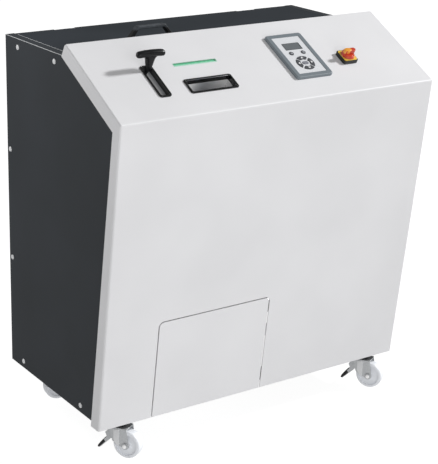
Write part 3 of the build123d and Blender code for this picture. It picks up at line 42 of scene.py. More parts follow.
# The machine's own side view, in millimetres, as the solids have it
RAKE = math.radians(28.7)
TOP_Y, TOP_Z = -43.479, 1064.547
LEVER_X, LEVER_REST = -318, math.radians(13.9)
PIVOT_DOWN, PIVOT_DEPTH = 160, 120
LEVER_LENGTH = 171.3
GRIP_LENGTH, GRIP_RADIUS, GRIP_HEIGHT, GRIP_ARCH = 80, 9.3, 8.3, 2.4
HUB_RADIUS = 15
LEVER_SLOT_DOWN = 169.8
GUIDE_SIZE, GUIDE_DEPTH = (41.5, 123.5), 12
BLADE_WIDTH, BLADE_SHIFT = 5, -6
GUIDE_SLIT = (8, 112)
INTAKE_X, INTAKE_DOWN = -174.5, 203.5
LID_EDGE, TOP_EDGE = 446.4, 1029.2
CONTROL_X, PAD_DOWN, ROUND_DOWN, DISPLAY_DOWN = 131, 180, 139.6, 112.3
ROUND_SPREAD = 38.4
FACE_LEVEL, KEY_LEVEL = 7, 8.4
SWITCH_X, SWITCH_DOWN, KNOB_TOP = 272, 175.6, 30.5
LIGHT_X, LIGHT_DOWN, LIGHT_HEIGHT = -175.4, 119.5, 9.3
HANDLE_LEG_TOP = 1066
SIDE_X = 473
SIDE_SCREWS = ((235.5, 1006.8), (34, 1006.8), (290.5, 719), (290.5, 411), (234, 121.8), (-88.5, 121.8))
REAR_Y = 303.5
REAR_SCREWS_X, REAR_SCREWS_Z = (-455, 0, 455), (125, 330, 560, 790, 1000)
LOUVRE_X, LOUVRE_Z, LOUVRE_WIDTH, LOUVRE_STEP, LOUVRE_ROWS = 180, 700, 90, (110, 16), 8
WHEEL_RADIUS, CASTER_TRAIL, FORK_FACE, FORK_OUTSIDE = 37.5, 28, 20, 24
# Each caster's swivel across and along, and its heading in degrees
CASTERS = {
    "front_left": (-405, -167.5, -57.9), "front_right": (405, -167.5, -57.9),
    "rear_left": (-410, 217, -8.3), "rear_right": (410, 217, 188.3),
}


def slope_point(x, down, height):
    """A point in metres, so far across, down and above the slope, given in millimetres."""
    return Vector((
        x,
        TOP_Y - down * math.cos(RAKE) - height * math.sin(RAKE),
        TOP_Z - down * math.sin(RAKE) + height * math.cos(RAKE),
    )) * MM


def linear(colour):
    """An sRGB hex colour as the linear colour that a shader takes."""
    parts = [int(colour[i:i + 2], 16) / 255 for i in (1, 3, 5)]
    return (*[p / 12.92 if p <= 0.04045 else ((p + 0.055) / 1.055) ** 2.4 for p in parts], 1)


def wire(tree, node, inputs):
    """Sets a node's inputs: a socket is linked, anything else is a value."""
    for name, value in inputs.items():
        if isinstance(value, bpy.types.NodeSocket):
            tree.links.new(value, node.inputs[name])
        else:
            node.inputs[name].default_value = value
    return node


def add(tree, kind, inputs, **settings):
    """Adds a node with its settings and links."""
    node = tree.nodes.new("ShaderNode" + kind)
    for name, value in settings.items():
        setattr(node, name, value)
    return wire(tree, node, inputs)


def start(name):
    """A new material, its node tree and its surface shader."""
    material = bpy.data.materials.new(name)
    material.use_nodes = True
    tree = material.node_tree
    return material, tree, tree.nodes["Principled BSDF"]


def per_metre(size):
    """Texture scale whose pattern repeats about every size millimetres."""
    return 1 / (size * MM)


def slope_place(x, down):
    """Local millimetres to the frame: across, up the slope and above it."""
    return (Matrix.Translation(slope_point(x, down, 0)) @ Matrix.Rotation(RAKE, 4, "X")
            @ Matrix.Scale(MM, 4))


def rolling_place(corner):
    """Local millimetres to the frame: ahead of a caster's swivel, height, and along its axle."""
    x, y, heading = CASTERS[corner]
    c, s = math.cos(math.radians(heading)), math.sin(math.radians(heading))
    turn = Matrix(((c, 0, s), (s, 0, -c), (0, 1, 0))).to_4x4()
    return Matrix.Translation(Vector((x, y, 0)) * MM) @ turn @ Matrix.Scale(MM, 4)


def skin(rings, ring_shaped=False):
    """A closed skin over a row of rings with the same number of points. A ring-shaped one joins
    its last ring to its first, and any other is capped at both ends."""
    shape = bmesh.new()
    rows = [[shape.verts.new(point) for point in ring] for ring in rings]
    count = len(rows[0])
    pairs = list(zip(rows, rows[1:]))
    if ring_shaped:
        pairs.append((rows[-1], rows[0]))
    for low, high in pairs:
        for i in range(count):
            j = (i + 1) % count
            shape.faces.new((low[i], low[j], high[j], high[i]))
    if not ring_shaped:
        shape.faces.new(rows[0][::-1])
        shape.faces.new(rows[-1])
    return shape


def oval(width, height, power=2.0, count=32):
    """Points round an oval, squarer as the power grows."""
    points = []
    for i in range(count):
        c, s = math.cos(2 * math.pi * (i + 0.5) / count), math.sin(2 * math.pi * (i + 0.5) / count)
        points.append((
            width / 2 * math.copysign(abs(c) ** (2 / power), c),
            height / 2 * math.copysign(abs(s) ** (2 / power), s),
        ))
    return points


def slab(outline, low, high, soft):
    """An outline raised from one height to another, its upper edge drawn in by a soft radius."""
    middle = [sum(p[k] for p in outline) / len(outline) for k in (0, 1)]
    reach = max(math.dist(p, middle) for p in outline)
    rings = [[(x, y, low) for x, y in outline]]
    for drop, draw in ((soft, 0), (soft * 0.3, soft * 0.3), (0, soft)):
        scale = 1 - draw / reach
        rings.append([(middle[0] + (x - middle[0]) * scale, middle[1] + (y - middle[1]) * scale,
                       high - drop) for x, y in outline])
    return skin(rings)


def rim(sections, power, count):
    """A closed ring through rounded outlines, each with a width, height, shift and level."""
    return skin([[(a, b + shift, level) for a, b in oval(width, height, power, count)]
                 for width, height, shift, level in sections], ring_shaped=True)


def turned(profile, count=40):
    """A solid of revolution about the local z axis, from pairs of radius and height."""
    return skin([[(r * math.cos(2 * math.pi * i / count), r * math.sin(2 * math.pi * i / count), z)
                  for i in range(count)] for r, z in profile])


def moved(shape, place):
    """The shape after a move."""
    shape.transform(place)
    return shape


def joined(shapes):
    """Several shapes as one."""
    whole = bmesh.new()
    for shape in shapes:
        part = bpy.data.meshes.new("part_of_piece")
        shape.to_mesh(part)
        shape.free()
        whole.from_mesh(part)
        bpy.data.meshes.remove(part)
    return whole


def piece(name, shape, material, body, place, smooth=32):
    """Makes a piece from a shape in local millimetres and lets it ride on a body."""
    shape.transform(place)
    bmesh.ops.recalc_face_normals(shape, faces=shape.faces)
    mesh = bpy.data.meshes.new(name)
    shape.to_mesh(mesh)
    shape.free()
    mesh.shade_smooth()
    mesh.set_sharp_from_angle(angle=math.radians(smooth))
    mesh.materials.append(material)
    made = bpy.data.objects.new(name, mesh)
    bpy.context.scene.collection.objects.link(made)
    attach(made, body)
    return made


def powder_coat(name, colour, worn_and_highlight, gloss, peel, shine=0.5):
    """Polyester powder coat baked on sheet steel. The eye sees an even satin skin with a fine
    orange peel, a slight drift in tone over a panel and a paler line along edges, partly a thinned
    coat and partly a painted highlight."""
    material, tree, shader = start(name)
    place = add(tree, "TexCoord", {}).outputs["Object"]
    drift = add(tree, "TexNoise", {"Vector": place, "Scale": per_metre(260), "Detail": 2.0})
    tone = add(tree, "MapRange", {"Value": drift.outputs["Fac"], "From Min": 0.35, "From Max": 0.65})
    edge = add(tree, "Bevel", {"Radius": 1.2 * MM}, samples=4)
    true = add(tree, "NewGeometry", {})
    match = add(tree, "VectorMath", {0: edge.outputs["Normal"], 1: true.outputs["Normal"]},
                operation="DOT_PRODUCT")
    # Paler along edges: partly a thinned coat, partly a painted highlight
    wear_and_highlight = add(tree, "MapRange", {"Value": match.outputs["Value"], "From Min": 0.99, "From Max": 0.85,
                                  "To Max": 0.5})
    base = add(tree, "Mix", {0: tone.outputs["Result"], 6: linear(colour[0]), 7: linear(colour[1])},
               data_type="RGBA")
    coat = add(tree, "Mix", {0: wear_and_highlight.outputs["Result"], 6: base.outputs[2], 7: linear(worn_and_highlight)},
               data_type="RGBA")
    # The real peel is about 1.5 mm across, too fine to show on a panel, so panels have it coarser
    waves = add(tree, "TexNoise", {"Vector": place, "Scale": per_metre(peel), "Detail": 3.0})
    bump = add(tree, "Bump", {"Height": waves.outputs["Fac"], "Strength": 0.12, "Distance": 0.4 * MM,
                              "Normal": edge.outputs["Normal"]})
    sheen = add(tree, "MapRange", {"Value": waves.outputs["Fac"], "To Min": gloss - 0.04,
                                   "To Max": gloss + 0.04})
    wire(tree, shader, {"Base Color": coat.outputs[2], "Roughness": sheen.outputs["Result"],
                        "Normal": bump.outputs["Normal"], "IOR": 1.5, "Specular IOR Level": shine})
    return material


def moulded(name, colour, roughness, grain, depth, coat=0.0, milky=0.0, shine=0.5, through=0.0):
    """Injection-moulded plastic from a spark-eroded tool. The eye sees a fine even grain,
    a soft highlight along rounded edges and places rubbed smoother by hands."""
    material, tree, shader = start(name)
    place = add(tree, "TexCoord", {}).outputs["Object"]
    spark = add(tree, "TexNoise", {"Vector": place, "Scale": per_metre(grain), "Detail": 4.0})
    edge = add(tree, "Bevel", {"Radius": 0.7 * MM}, samples=4)
    bump = add(tree, "Bump", {"Height": spark.outputs["Fac"], "Strength": depth, "Distance": 0.2 * MM,
                              "Normal": edge.outputs["Normal"]})
    rubbed = add(tree, "TexNoise", {"Vector": place, "Scale": per_metre(22), "Detail": 2.0})
    smooth = add(tree, "MapRange", {"Value": rubbed.outputs["Fac"], "From Min": 0.3, "From Max": 0.7,
                                    "To Min": roughness - 0.06, "To Max": roughness + 0.06})
    tint = add(tree, "Mix", {0: rubbed.outputs["Fac"], 6: linear(colour[0]), 7: linear(colour[1])},
               data_type="RGBA")
    wire(tree, shader, {"Base Color": tint.outputs[2], "Roughness": smooth.outputs["Result"],
                        "Normal": bump.outputs["Normal"], "IOR": 1.53,
                        "Specular IOR Level": shine, "Coat Weight": coat,
                        "Coat Roughness": 0.12, "Subsurface Weight": milky,
                        "Subsurface Radius": (0.004, 0.004, 0.004), "Subsurface Scale": 1.0})
    # A painted glow, a slight light of its own, stands in for light passing through a translucent moulding
    if through:
        wire(tree, shader, {"Emission Color": linear(colour[0]), "Emission Strength": through})
    return material


def brushed_stainless(name, along, grey_at, pale_reach, colours):
    """Cold-rolled stainless sheet, brushed one way. The eye sees long fine hairlines, and grey that
    turns paler away from a line. The paler part is painted on, in place of the white studio that
    the real sheet mirrors. With a negative reach it lies only to the left of the line."""
    material, tree, shader = start(name)
    place = add(tree, "TexCoord", {}).outputs["Object"]
    # Hairlines are some tenths of a millimetre apart, drawn at 0.8 mm so that they show
    stretch = add(tree, "Mapping", {"Vector": place, "Scale": along})
    hair = add(tree, "TexNoise", {"Vector": stretch.outputs["Vector"], "Scale": per_metre(0.8),
                                  "Detail": 3.0})
    split = add(tree, "SeparateXYZ", {0: place})
    away = add(tree, "Math", {0: split.outputs["X"], 1: grey_at * MM}, operation="SUBTRACT")
    if pale_reach > 0:
        away = add(tree, "Math", {0: away.outputs["Value"]}, operation="ABSOLUTE")
    share = add(tree, "MapRange", {"Value": away.outputs["Value"], "From Min": 0.0,
                                   "From Max": pale_reach * MM}, interpolation_type="SMOOTHSTEP")
    bump = add(tree, "Bump", {"Height": hair.outputs["Fac"], "Strength": 0.25, "Distance": 0.1 * MM})
    rough = add(tree, "MapRange", {"Value": hair.outputs["Fac"], "To Min": 0.4, "To Max": 0.6})
    tint = add(tree, "Mix", {0: share.outputs["Result"], 6: linear(colours[0]), 7: linear(colours[1])},
               data_type="RGBA")
    wire(tree, shader, {"Base Color": tint.outputs[2], "Roughness": rough.outputs["Result"],
                        "Normal": bump.outputs["Normal"], "Metallic": 0.1, "Anisotropic": 0.4})
    return material


def zinc_plated(name, bright, dull, spangle, rough, metal=1.0):
    """Steel with a zinc skin, electroplated on small parts and hot-dipped on sheet. The eye
    sees a pale bluish metal broken into patches of different shine."""
    material, tree, shader = start(name)
    place = add(tree, "TexCoord", {}).outputs["Object"]
    flake = add(tree, "TexVoronoi", {"Vector": place, "Scale": per_metre(spangle)})
    fog = add(tree, "TexNoise", {"Vector": place, "Scale": per_metre(spangle * 2), "Detail": 4.0})
    grey = add(tree, "SeparateColor", {"Color": flake.outputs["Color"]})
    both = add(tree, "Math", {0: grey.outputs["Red"], 1: fog.outputs["Fac"]}, operation="MULTIPLY")
    tint = add(tree, "Mix", {0: both.outputs["Value"], 6: linear(bright), 7: linear(dull)},
               data_type="RGBA")
    shine = add(tree, "MapRange", {"Value": grey.outputs["Green"], "To Min": rough - 0.08,
                                   "To Max": rough + 0.1})
    edge = add(tree, "Bevel", {"Radius": 0.6 * MM}, samples=4)
    bump = add(tree, "Bump", {"Height": fog.outputs["Fac"], "Strength": 0.15, "Distance": 0.2 * MM,
                              "Normal": edge.outputs["Normal"]})
    wire(tree, shader, {"Base Color": tint.outputs[2], "Roughness": shine.outputs["Result"],
                        "Normal": bump.outputs["Normal"], "Metallic": metal})
    return material


def machined_steel(name, bright, dark, pitch, rough):
    """Steel turned or ground to size and oiled. The eye sees fine parallel tool marks, a darker
    film where the oil has gathered and bright edges."""
    material, tree, shader = start(name)
    place = add(tree, "TexCoord", {}).outputs["Object"]
    marks = add(tree, "TexNoise", {"Vector": place, "Scale": per_metre(pitch), "Detail": 5.0,
                                   "Roughness": 0.7})
    film = add(tree, "TexNoise", {"Vector": place, "Scale": per_metre(18), "Detail": 3.0})
    edge = add(tree, "Bevel", {"Radius": 0.8 * MM}, samples=4)
    true = add(tree, "NewGeometry", {})
    match = add(tree, "VectorMath", {0: edge.outputs["Normal"], 1: true.outputs["Normal"]},
                operation="DOT_PRODUCT")
    bare = add(tree, "MapRange", {"Value": match.outputs["Value"], "From Min": 0.98, "From Max": 0.8,
                                  "To Max": 0.8})
    body = add(tree, "Mix", {0: film.outputs["Fac"], 6: linear(bright), 7: linear(dark)},
               data_type="RGBA")
    tint = add(tree, "Mix", {0: bare.outputs["Result"], 6: body.outputs[2], 7: linear("#D8D9DA")},
               data_type="RGBA")
    bump = add(tree, "Bump", {"Height": marks.outputs["Fac"], "Strength": 0.3, "Distance": 0.2 * MM,
                              "Normal": edge.outputs["Normal"]})
    shine = add(tree, "MapRange", {"Value": film.outputs["Fac"], "To Min": rough - 0.1,
                                   "To Max": rough + 0.12})
    wire(tree, shader, {"Base Color": tint.outputs[2], "Roughness": shine.outputs["Result"],
                        "Normal": bump.outputs["Normal"], "Metallic": 0.95})
    return material


def lit_acrylic(name):
    """Green acrylic light guide. The eye sees a dark green line along its upper edge, painted shade,
    and a pale one along the lower, a painted glow, and a slight light of its own in place of the lamp
    behind it."""
    material, tree, shader = start(name)
    place = add(tree, "TexCoord", {}).outputs["Object"]
    down = add(tree, "VectorMath", {0: place, 1: (0, -math.cos(RAKE), -math.sin(RAKE))},
               operation="DOT_PRODUCT")
    top = -(TOP_Y * math.cos(RAKE) + TOP_Z * math.sin(RAKE)) * MM
    start_down = top + (LIGHT_DOWN - LIGHT_HEIGHT / 2) * MM
    share = add(tree, "MapRange", {"Value": down.outputs["Value"], "From Min": start_down,
                                   "From Max": start_down + LIGHT_HEIGHT * MM})
    # Painted shade: dark green along the upper edge; painted glow: pale mint along the lower
    upper = add(tree, "MapRange", {"Value": share.outputs["Result"], "From Min": 0.12, "From Max": 0.45})
    lower = add(tree, "MapRange", {"Value": share.outputs["Result"], "From Min": 0.6, "From Max": 1.0})
    green = add(tree, "Mix", {0: upper.outputs["Result"], 6: linear("#358F64"), 7: linear("#66C296")},
                data_type="RGBA")
    glow = add(tree, "Mix", {0: lower.outputs["Result"], 6: green.outputs[2], 7: linear("#BAEBD2")},
               data_type="RGBA")
    haze = add(tree, "TexNoise", {"Vector": place, "Scale": per_metre(9), "Detail": 2.0})
    shine = add(tree, "MapRange", {"Value": haze.outputs["Fac"], "To Min": 0.2, "To Max": 0.34})
    wire(tree, shader, {"Base Color": glow.outputs[2], "Roughness": shine.outputs["Result"],
                        "IOR": 1.49, "Coat Weight": 0.3, "Coat Roughness": 0.1,
                        "Emission Color": glow.outputs[2], "Emission Strength": 0.12})
    return material


def handle_plastic(name):
    """Glass-filled nylon, moulded black and matt. The eye sees black legs and a paler, uneven bar,
    its paleness painted light, as on a top lit from above, to follow the photograph."""
    material, tree, shader = start(name)
    place = add(tree, "TexCoord", {}).outputs["Object"]
    split = add(tree, "SeparateXYZ", {0: place})
    # The bar is painted paler than the legs: painted light on the handle's top
    bar = add(tree, "MapRange", {"Value": split.outputs["Z"], "From Min": (HANDLE_LEG_TOP - 3) * MM,
                                 "From Max": (HANDLE_LEG_TOP + 1) * MM})
    rubbed = add(tree, "TexNoise", {"Vector": place, "Scale": per_metre(18), "Detail": 3.0})
    tone = add(tree, "Math", {0: bar.outputs["Result"], 1: rubbed.outputs["Fac"]}, operation="MULTIPLY")
    tint = add(tree, "Mix", {0: tone.outputs["Value"], 6: linear("#0B0C0E"), 7: linear("#5E646B")},
               data_type="RGBA")
    grain = add(tree, "TexNoise", {"Vector": place, "Scale": per_metre(0.8), "Detail": 4.0})
    edge = add(tree, "Bevel", {"Radius": 0.8 * MM}, samples=4)
    bump = add(tree, "Bump", {"Height": grain.outputs["Fac"], "Strength": 0.2, "Distance": 0.2 * MM,
                              "Normal": edge.outputs["Normal"]})
    shine = add(tree, "MapRange", {"Value": rubbed.outputs["Fac"], "To Min": 0.4, "To Max": 0.6})
    wire(tree, shader, {"Base Color": tint.outputs[2], "Roughness": shine.outputs["Result"],
                        "Normal": bump.outputs["Normal"], "IOR": 1.53, "Specular IOR Level": 0.3})
    return material


# Cover and drawer door: pale grey powder coat, satin
white_coat = powder_coat("powder_coat_pale_grey", ("#EEEEF0", "#E9E9EB"), "#F8F8F8", 0.42, 3.0)
# Sides and rear: anthracite powder coat with a finer, duller peel
dark_coat = powder_coat("powder_coat_anthracite", ("#373B40", "#33373B"), "#50555B", 0.66, 2.0, 0.25)
# Lid: the same powder, a little paler and duller
lid_coat = powder_coat("powder_coat_anthracite_lid", ("#3D4146", "#383C40"), "#4D5156", 0.8, 2.0, 0.04)
# Top edges on the left: a painted highlight, pale and glossier than the sheet, to follow the photograph
painted_highlight_edge = powder_coat("powder_coat_painted_highlight_edge", ("#E4E6E8", "#D6D8DA"), "#F0F1F2", 0.35, 1.5)
# Frame inside: black dip coat, nearly matt
frame_coat = powder_coat("dip_coat_black", ("#1C1E20", "#17191B"), "#3C3F43", 0.55, 4.0, 0.3)
# Gearbox and motor: enamel sprayed over castings, with the casting's coarse skin
drive_enamel = powder_coat("enamel_blue_grey", ("#6C7780", "#606B74"), "#A9B0B5", 0.35, 5.0)
black_abs = moulded("abs_black_moulded", ("#101113", "#17181A"), 0.36, 0.8, 0.25)
bezel_abs = moulded("abs_black_polished", ("#0B0C0E", "#121315"), 0.2, 1.5, 0.05, coat=0.4)
grey_abs = moulded("abs_blue_grey_moulded", ("#7C858B", "#747D84"), 0.42, 0.8, 0.2)
face_film = moulded("polyester_face_film", ("#E9EBEE", "#E4E6EA"), 0.3, 0.6, 0.1, coat=0.2)
key_rubber = moulded("silicone_rubber_grey", ("#44474C", "#3E4146"), 0.55, 0.9, 0.2)
enter_rubber = moulded("silicone_rubber_mid_grey", ("#868891", "#7E8089"), 0.55, 0.9, 0.2)
key_print = moulded("screen_ink_grey", ("#A3A6AC", "#999CA3"), 0.5, 1.0, 0.05)
glyph_ink = moulded("screen_ink_white", ("#F6F7F8", "#EEEFF1"), 0.5, 1.0, 0.05)
display_glass = moulded("acrylic_display_window", ("#70767A", "#686D71"), 0.14, 6.0, 0.02, coat=1.0)
board_resin = moulded("glass_fibre_board_green", ("#1F5B3A", "#174A2E"), 0.35, 0.7, 0.1, coat=0.5)
yellow_abs = moulded("abs_signal_yellow", ("#F7D45C", "#F2CA4C"), 0.34, 0.9, 0.1)
red_abs = moulded("abs_signal_red", ("#D4472B", "#C63E26"), 0.3, 0.9, 0.1, coat=0.2)
# Wheels and axle caps: a painted glow stands in for light passing through the plastic
nylon = moulded("polyamide_natural_white", ("#ECEEF2", "#E4E7EC"), 0.34, 1.4, 0.12, milky=0.12,
                through=0.08)
cap_white = moulded("polyethylene_white_cap", ("#FAFAFA", "#F4F4F5"), 0.3, 1.4, 0.05, coat=0.3,
                    through=0.16)
electrics_shell = moulded("polycarbonate_pale_grey", ("#B9BDBF", "#A9ADB0"), 0.4, 0.8, 0.15)
# Dark rim round the display window: painted shade
display_shade_rim = moulded("acrylic_painted_shade_edge", ("#45494B", "#3D4143"), 0.3, 1.0, 0.05, coat=0.3)
index_abs = moulded("abs_amber_inlay", ("#F3A93C", "#ED9E33"), 0.34, 0.9, 0.1, coat=0.2)
lever_abs = moulded("abs_black_grip", ("#0D0E10", "#131417"), 0.3, 1.0, 0.3, shine=0.3)
pedal_rubber = moulded("polyurethane_black_pad", ("#121315", "#0D0E10"), 0.5, 1.2, 0.3)
# Paler upper edge of the intake's lip: a painted highlight
lip_highlight = moulded("abs_black_painted_highlight", ("#626469", "#585A5F"), 0.3, 1.0, 0.1)
# Pale mint flange: a painted glow along the light bar's lower edge
painted_glow_mint = moulded("acrylic_mint_painted_glow", ("#C2EEDA", "#B4E6CF"), 0.25, 3.0, 0.02, coat=0.3)
green_acrylic = lit_acrylic("acrylic_green_painted_shade_and_glow")
nylon_handle = handle_plastic("nylon_glass_filled_black")
stainless = brushed_stainless("stainless_brushed_across", (0.04, 1.0, 1.0), INTAKE_X + 2, 62,
                              ("#B9BBBF", "#FFFFFF"))
guide_steel = brushed_stainless("stainless_brushed_along", (1.0, 0.05, 0.05), LEVER_X + 10, -13,
                                ("#B4B6BA", "#FFFFFF"))
zinc = zinc_plated("zinc_electroplated", "#D3D6D9", "#B4B8BC", 3.0, 0.32)
fork_zinc = zinc_plated("zinc_pressed", "#D6D8DA", "#BFC2C4", 2.0, 0.46, 0.6)
# Pressed zinc, paler and less metallic than the forks: a painted highlight for fork ribs and screw heads
painted_highlight_zinc = zinc_plated("zinc_pressed_painted_highlight", "#F4F5F6", "#E8EAEC", 2.0, 0.5, 0.25)
galvanised = zinc_plated("zinc_hot_dipped", "#B9BEC2", "#9CA2A7", 9.0, 0.4)
tool_steel = machined_steel("tool_steel_ground", "#8E9093", "#5E6063", 0.9, 0.35)
cast_iron = machined_steel("cast_iron_milled", "#707275", "#4A4C4E", 1.6, 0.45)
bronze = machined_steel("bronze_sintered", "#B08A55", "#85633A", 0.7, 0.4)

finishes = {
    "front_cover": white_coat, "drawer_door": white_coat,
    "side_panel_left": dark_coat, "side_panel_right": dark_coat, "rear_panel": dark_coat,
    "top_lid": lid_coat, "lid_hinges": zinc,
    "side_frames": frame_coat, "cross_rails": frame_coat, "feed_brackets": frame_coat,
    # Caster plates take the black frame coat as painted shade, for the shade under the machine
    "panel_screws": zinc, "caster_plates": frame_coat, "drawer_runners": galvanised,
    "waste_bin": galvanised, "cutter_chutes": galvanised,
    "power_inlet": black_abs, "bow_handle": nylon_handle, "lever_grip": black_abs,
    "feed_lever": black_abs, "lever_bezel": bezel_abs, "intake_bezel": bezel_abs,
    "lever_guide": guide_steel, "feed_chute": stainless, "feed_gate": stainless,
    "light_bar": green_acrylic, "control_bezel": grey_abs, "control_face": face_film,
    "display_window": display_glass, "control_board": board_resin,
    "switch_body": black_abs, "switch_plate": yellow_abs, "switch_knob": red_abs,
    "lever_shaft": tool_steel, "shaft_bushes": bronze,
    "cutter_frame": cast_iron, "cutter_bearings": tool_steel,
    "cutter_shaft_front": tool_steel, "cutter_shaft_rear": tool_steel,
    "cutter_discs_front": tool_steel, "cutter_discs_rear": tool_steel,
    "gearbox": drive_enamel, "motor": drive_enamel, "electrics_panel": electrics_shell,
}
for name in nodes:
    kind = name.split("_")[0]
    if kind in ("round", "arrow"):
        finishes[name] = key_rubber
    elif kind == "enter":
        finishes[name] = enter_rubber
    elif kind in ("fork", "brake"):
        finishes[name] = fork_zinc
    elif kind == "wheel":
        finishes[name] = nylon
for name, material in finishes.items():
    nodes[name].data.materials.clear()
    nodes[name].data.materials.append(material)

# Feed lever: an arched grip moulded over a blade that runs through the guide plate's slit
GRIP_STEPS, GRIP_TIP, HUB_SOFT = 20, 0.2, 1
# Height above the pivot, width, thickness and shift across
NECK_SECTIONS = (
    (10, BLADE_WIDTH + 3, 9, BLADE_SHIFT), (60, BLADE_WIDTH, 8, BLADE_SHIFT),
    (113, BLADE_WIDTH, 8, BLADE_SHIFT), (119, BLADE_WIDTH + 0.6, 8.2, BLADE_SHIFT), (123, 9, 8.8, -3.5),
    (127, 13.5, 9.6, -1), (131, 15.5, 10.4, 0), (138, 18, 11.2, 0), (145, 21.5, 12, 0),
    (151, 24, 12.8, 0), (156, 26, 13.8, 0), (160, 29, 15, 0), (163.5, 35, 16, 0), (167, 45, 16, 0),
)
lever_place = (slope_place(LEVER_X, PIVOT_DOWN) @ Matrix.Translation((0, 0, -PIVOT_DEPTH))
               @ Matrix.Rotation(-LEVER_REST, 4, "X"))
barrel = []
for i in range(2 * GRIP_STEPS + 1):
    t = math.sin(math.pi / 2 * (i / GRIP_STEPS - 1))
    # Full width along the grip, rounded off at both ends
    round_end = max(1 - abs(t) ** 12, 0.0) ** 0.45
    across_grip = oval(2 * GRIP_RADIUS * round_end + GRIP_TIP, 2 * GRIP_HEIGHT * round_end + GRIP_TIP, 2.3)
    arch = GRIP_ARCH * (0.5 - t * t)
    barrel.append([(t * GRIP_LENGTH / 2, a, LEVER_LENGTH + arch + b) for a, b in across_grip])
grip = piece("grip_barrel", skin(barrel), lever_abs, "feed_lever", lever_place, 60)
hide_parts("lever_grip")
neck = []
for height, wide, thick, shift in NECK_SECTIONS:
    neck.append([(shift + a, b, height) for a, b in oval(wide, thick, 3.0)])
hub = moved(turned([(HUB_RADIUS - HUB_SOFT, -HUB_RADIUS), (HUB_RADIUS, HUB_SOFT - HUB_RADIUS),
                    (HUB_RADIUS, HUB_RADIUS - HUB_SOFT), (HUB_RADIUS - HUB_SOFT, HUB_RADIUS)]),
            Matrix.Rotation(math.pi / 2, 4, "Y"))
stem = piece("lever_neck", joined([skin(neck), hub]), lever_abs, "feed_lever",
             lever_place, 50)
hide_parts("feed_lever")

# Guide plate under the slot, slit for the blade, with two feet up to the cover
GUIDE_SHEET, SLIT_FLARE, SLIT_SOFT = 2, 1.08, 0.6
FOOT_SIZE, FOOT_TOP = (29.5, 2), -2
outside, inside = oval(*GUIDE_SIZE, 60.0, 64), oval(*GUIDE_SLIT, 9.0, 64)
sheet = skin([
    [(a, b, -GUIDE_DEPTH - GUIDE_SHEET) for a, b in outside], [(a, b, -GUIDE_DEPTH) for a, b in outside],
    [(BLADE_SHIFT + a * SLIT_FLARE, b, -GUIDE_DEPTH) for a, b in inside],
    [(BLADE_SHIFT + a, b, -GUIDE_DEPTH - SLIT_SOFT) for a, b in inside],
    [(BLADE_SHIFT + a, b, -GUIDE_DEPTH - GUIDE_SHEET) for a, b in inside],
], ring_shaped=True)
feet = []
for end in (-1, 1):
    foot = [(a, end * (GUIDE_SIZE[1] / 2 - 1) + b) for a, b in oval(*FOOT_SIZE, 30.0)]
    feet.append(slab(foot, -GUIDE_DEPTH - 1, FOOT_TOP, 0.2))
guide = piece("guide_plate", joined([sheet, *feet]), guide_steel, "body",
              slope_place(LEVER_X, LEVER_SLOT_DOWN))
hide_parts("lever_guide")

# Rounded inner lips of the two bezels, which catch the light
LIP_SECTION = ((3.6, 2.9), (2.6, 3.35), (1.2, 3.3), (0.1, 2.6), (-0.5, 1.2), (0.6, 0.4))
for name, x, down, width, height in (("lever", LEVER_X, LEVER_SLOT_DOWN, 25.5, 107.5),
                                     ("intake", INTAKE_X, INTAKE_DOWN, 132, 41.7)):
    lip = rim([(width + grow, height + grow, 0, level) for grow, level in LIP_SECTION], 26.0, 96)
    piece(f"{name}_lip", lip, bezel_abs, "body", slope_place(x, down), 50)

# Painted highlight: a paler line along the upper edge of the intake's lip, to follow the photograph
LIP_EDGE_UP, LIP_EDGE_LEVEL = 19.6, 2.6
LIP_EDGE_RUN = ((-61, 0.5), (-60, 1.0), (60, 1.0), (61, 0.5))
bead = skin([[(x, LIP_EDGE_UP + a, LIP_EDGE_LEVEL + b) for a, b in oval(2 * r, 2 * r, 2.0, 14)]
             for x, r in LIP_EDGE_RUN])
piece("intake_lip_highlight", bead, lip_highlight, "body", slope_place(INTAKE_X, INTAKE_DOWN), 60)

# Light bar: the guide's thin flange, lying on the cover round the lit strip. Its pale mint,
# wider below the strip, is a painted glow along the lower edge
FLANGE_SECTIONS = (
    (129.2, 12.8, -1.1, 0.02), (129.0, 12.6, -1.1, 0.3), (126.4, 9.4, 0, 0.45), (126.0, 9.0, 0, 0.02))
flange = rim(FLANGE_SECTIONS, 30.0, 96)
piece("light_bar_flange", flange, painted_glow_mint, "body", slope_place(LIGHT_X, LIGHT_DOWN), 40)

# Beads along the side panels' top edges and the lid's side edges; a painted highlight on the left as in
# the photograph
BEAD_RADIUS, BEAD_TIP, BEAD_TAPER = 0.8, 0.4, 2
EDGE_BEADS = (("panel", "body", SIDE_X - 0.5, -20, 307), ("lid", "lid", LID_EDGE, -21, 288))
for name, body, x, start_y, end_y in EDGE_BEADS:
    for side, side_name, material in ((-1, "left", painted_highlight_edge), (1, "right", dark_coat)):
        bead = skin([[(side * x + a, y, TOP_EDGE + b) for a, b in oval(2 * r, 2 * r, 2.0, 12)]
                     for y, r in ((start_y, BEAD_TIP), (start_y + BEAD_TAPER, BEAD_RADIUS),
                                  (end_y - BEAD_TAPER, BEAD_RADIUS), (end_y, BEAD_TIP))])
        piece(f"{name}_edge_bead_{side_name}", bead, material, body,
              Matrix.Scale(MM, 4), 60)

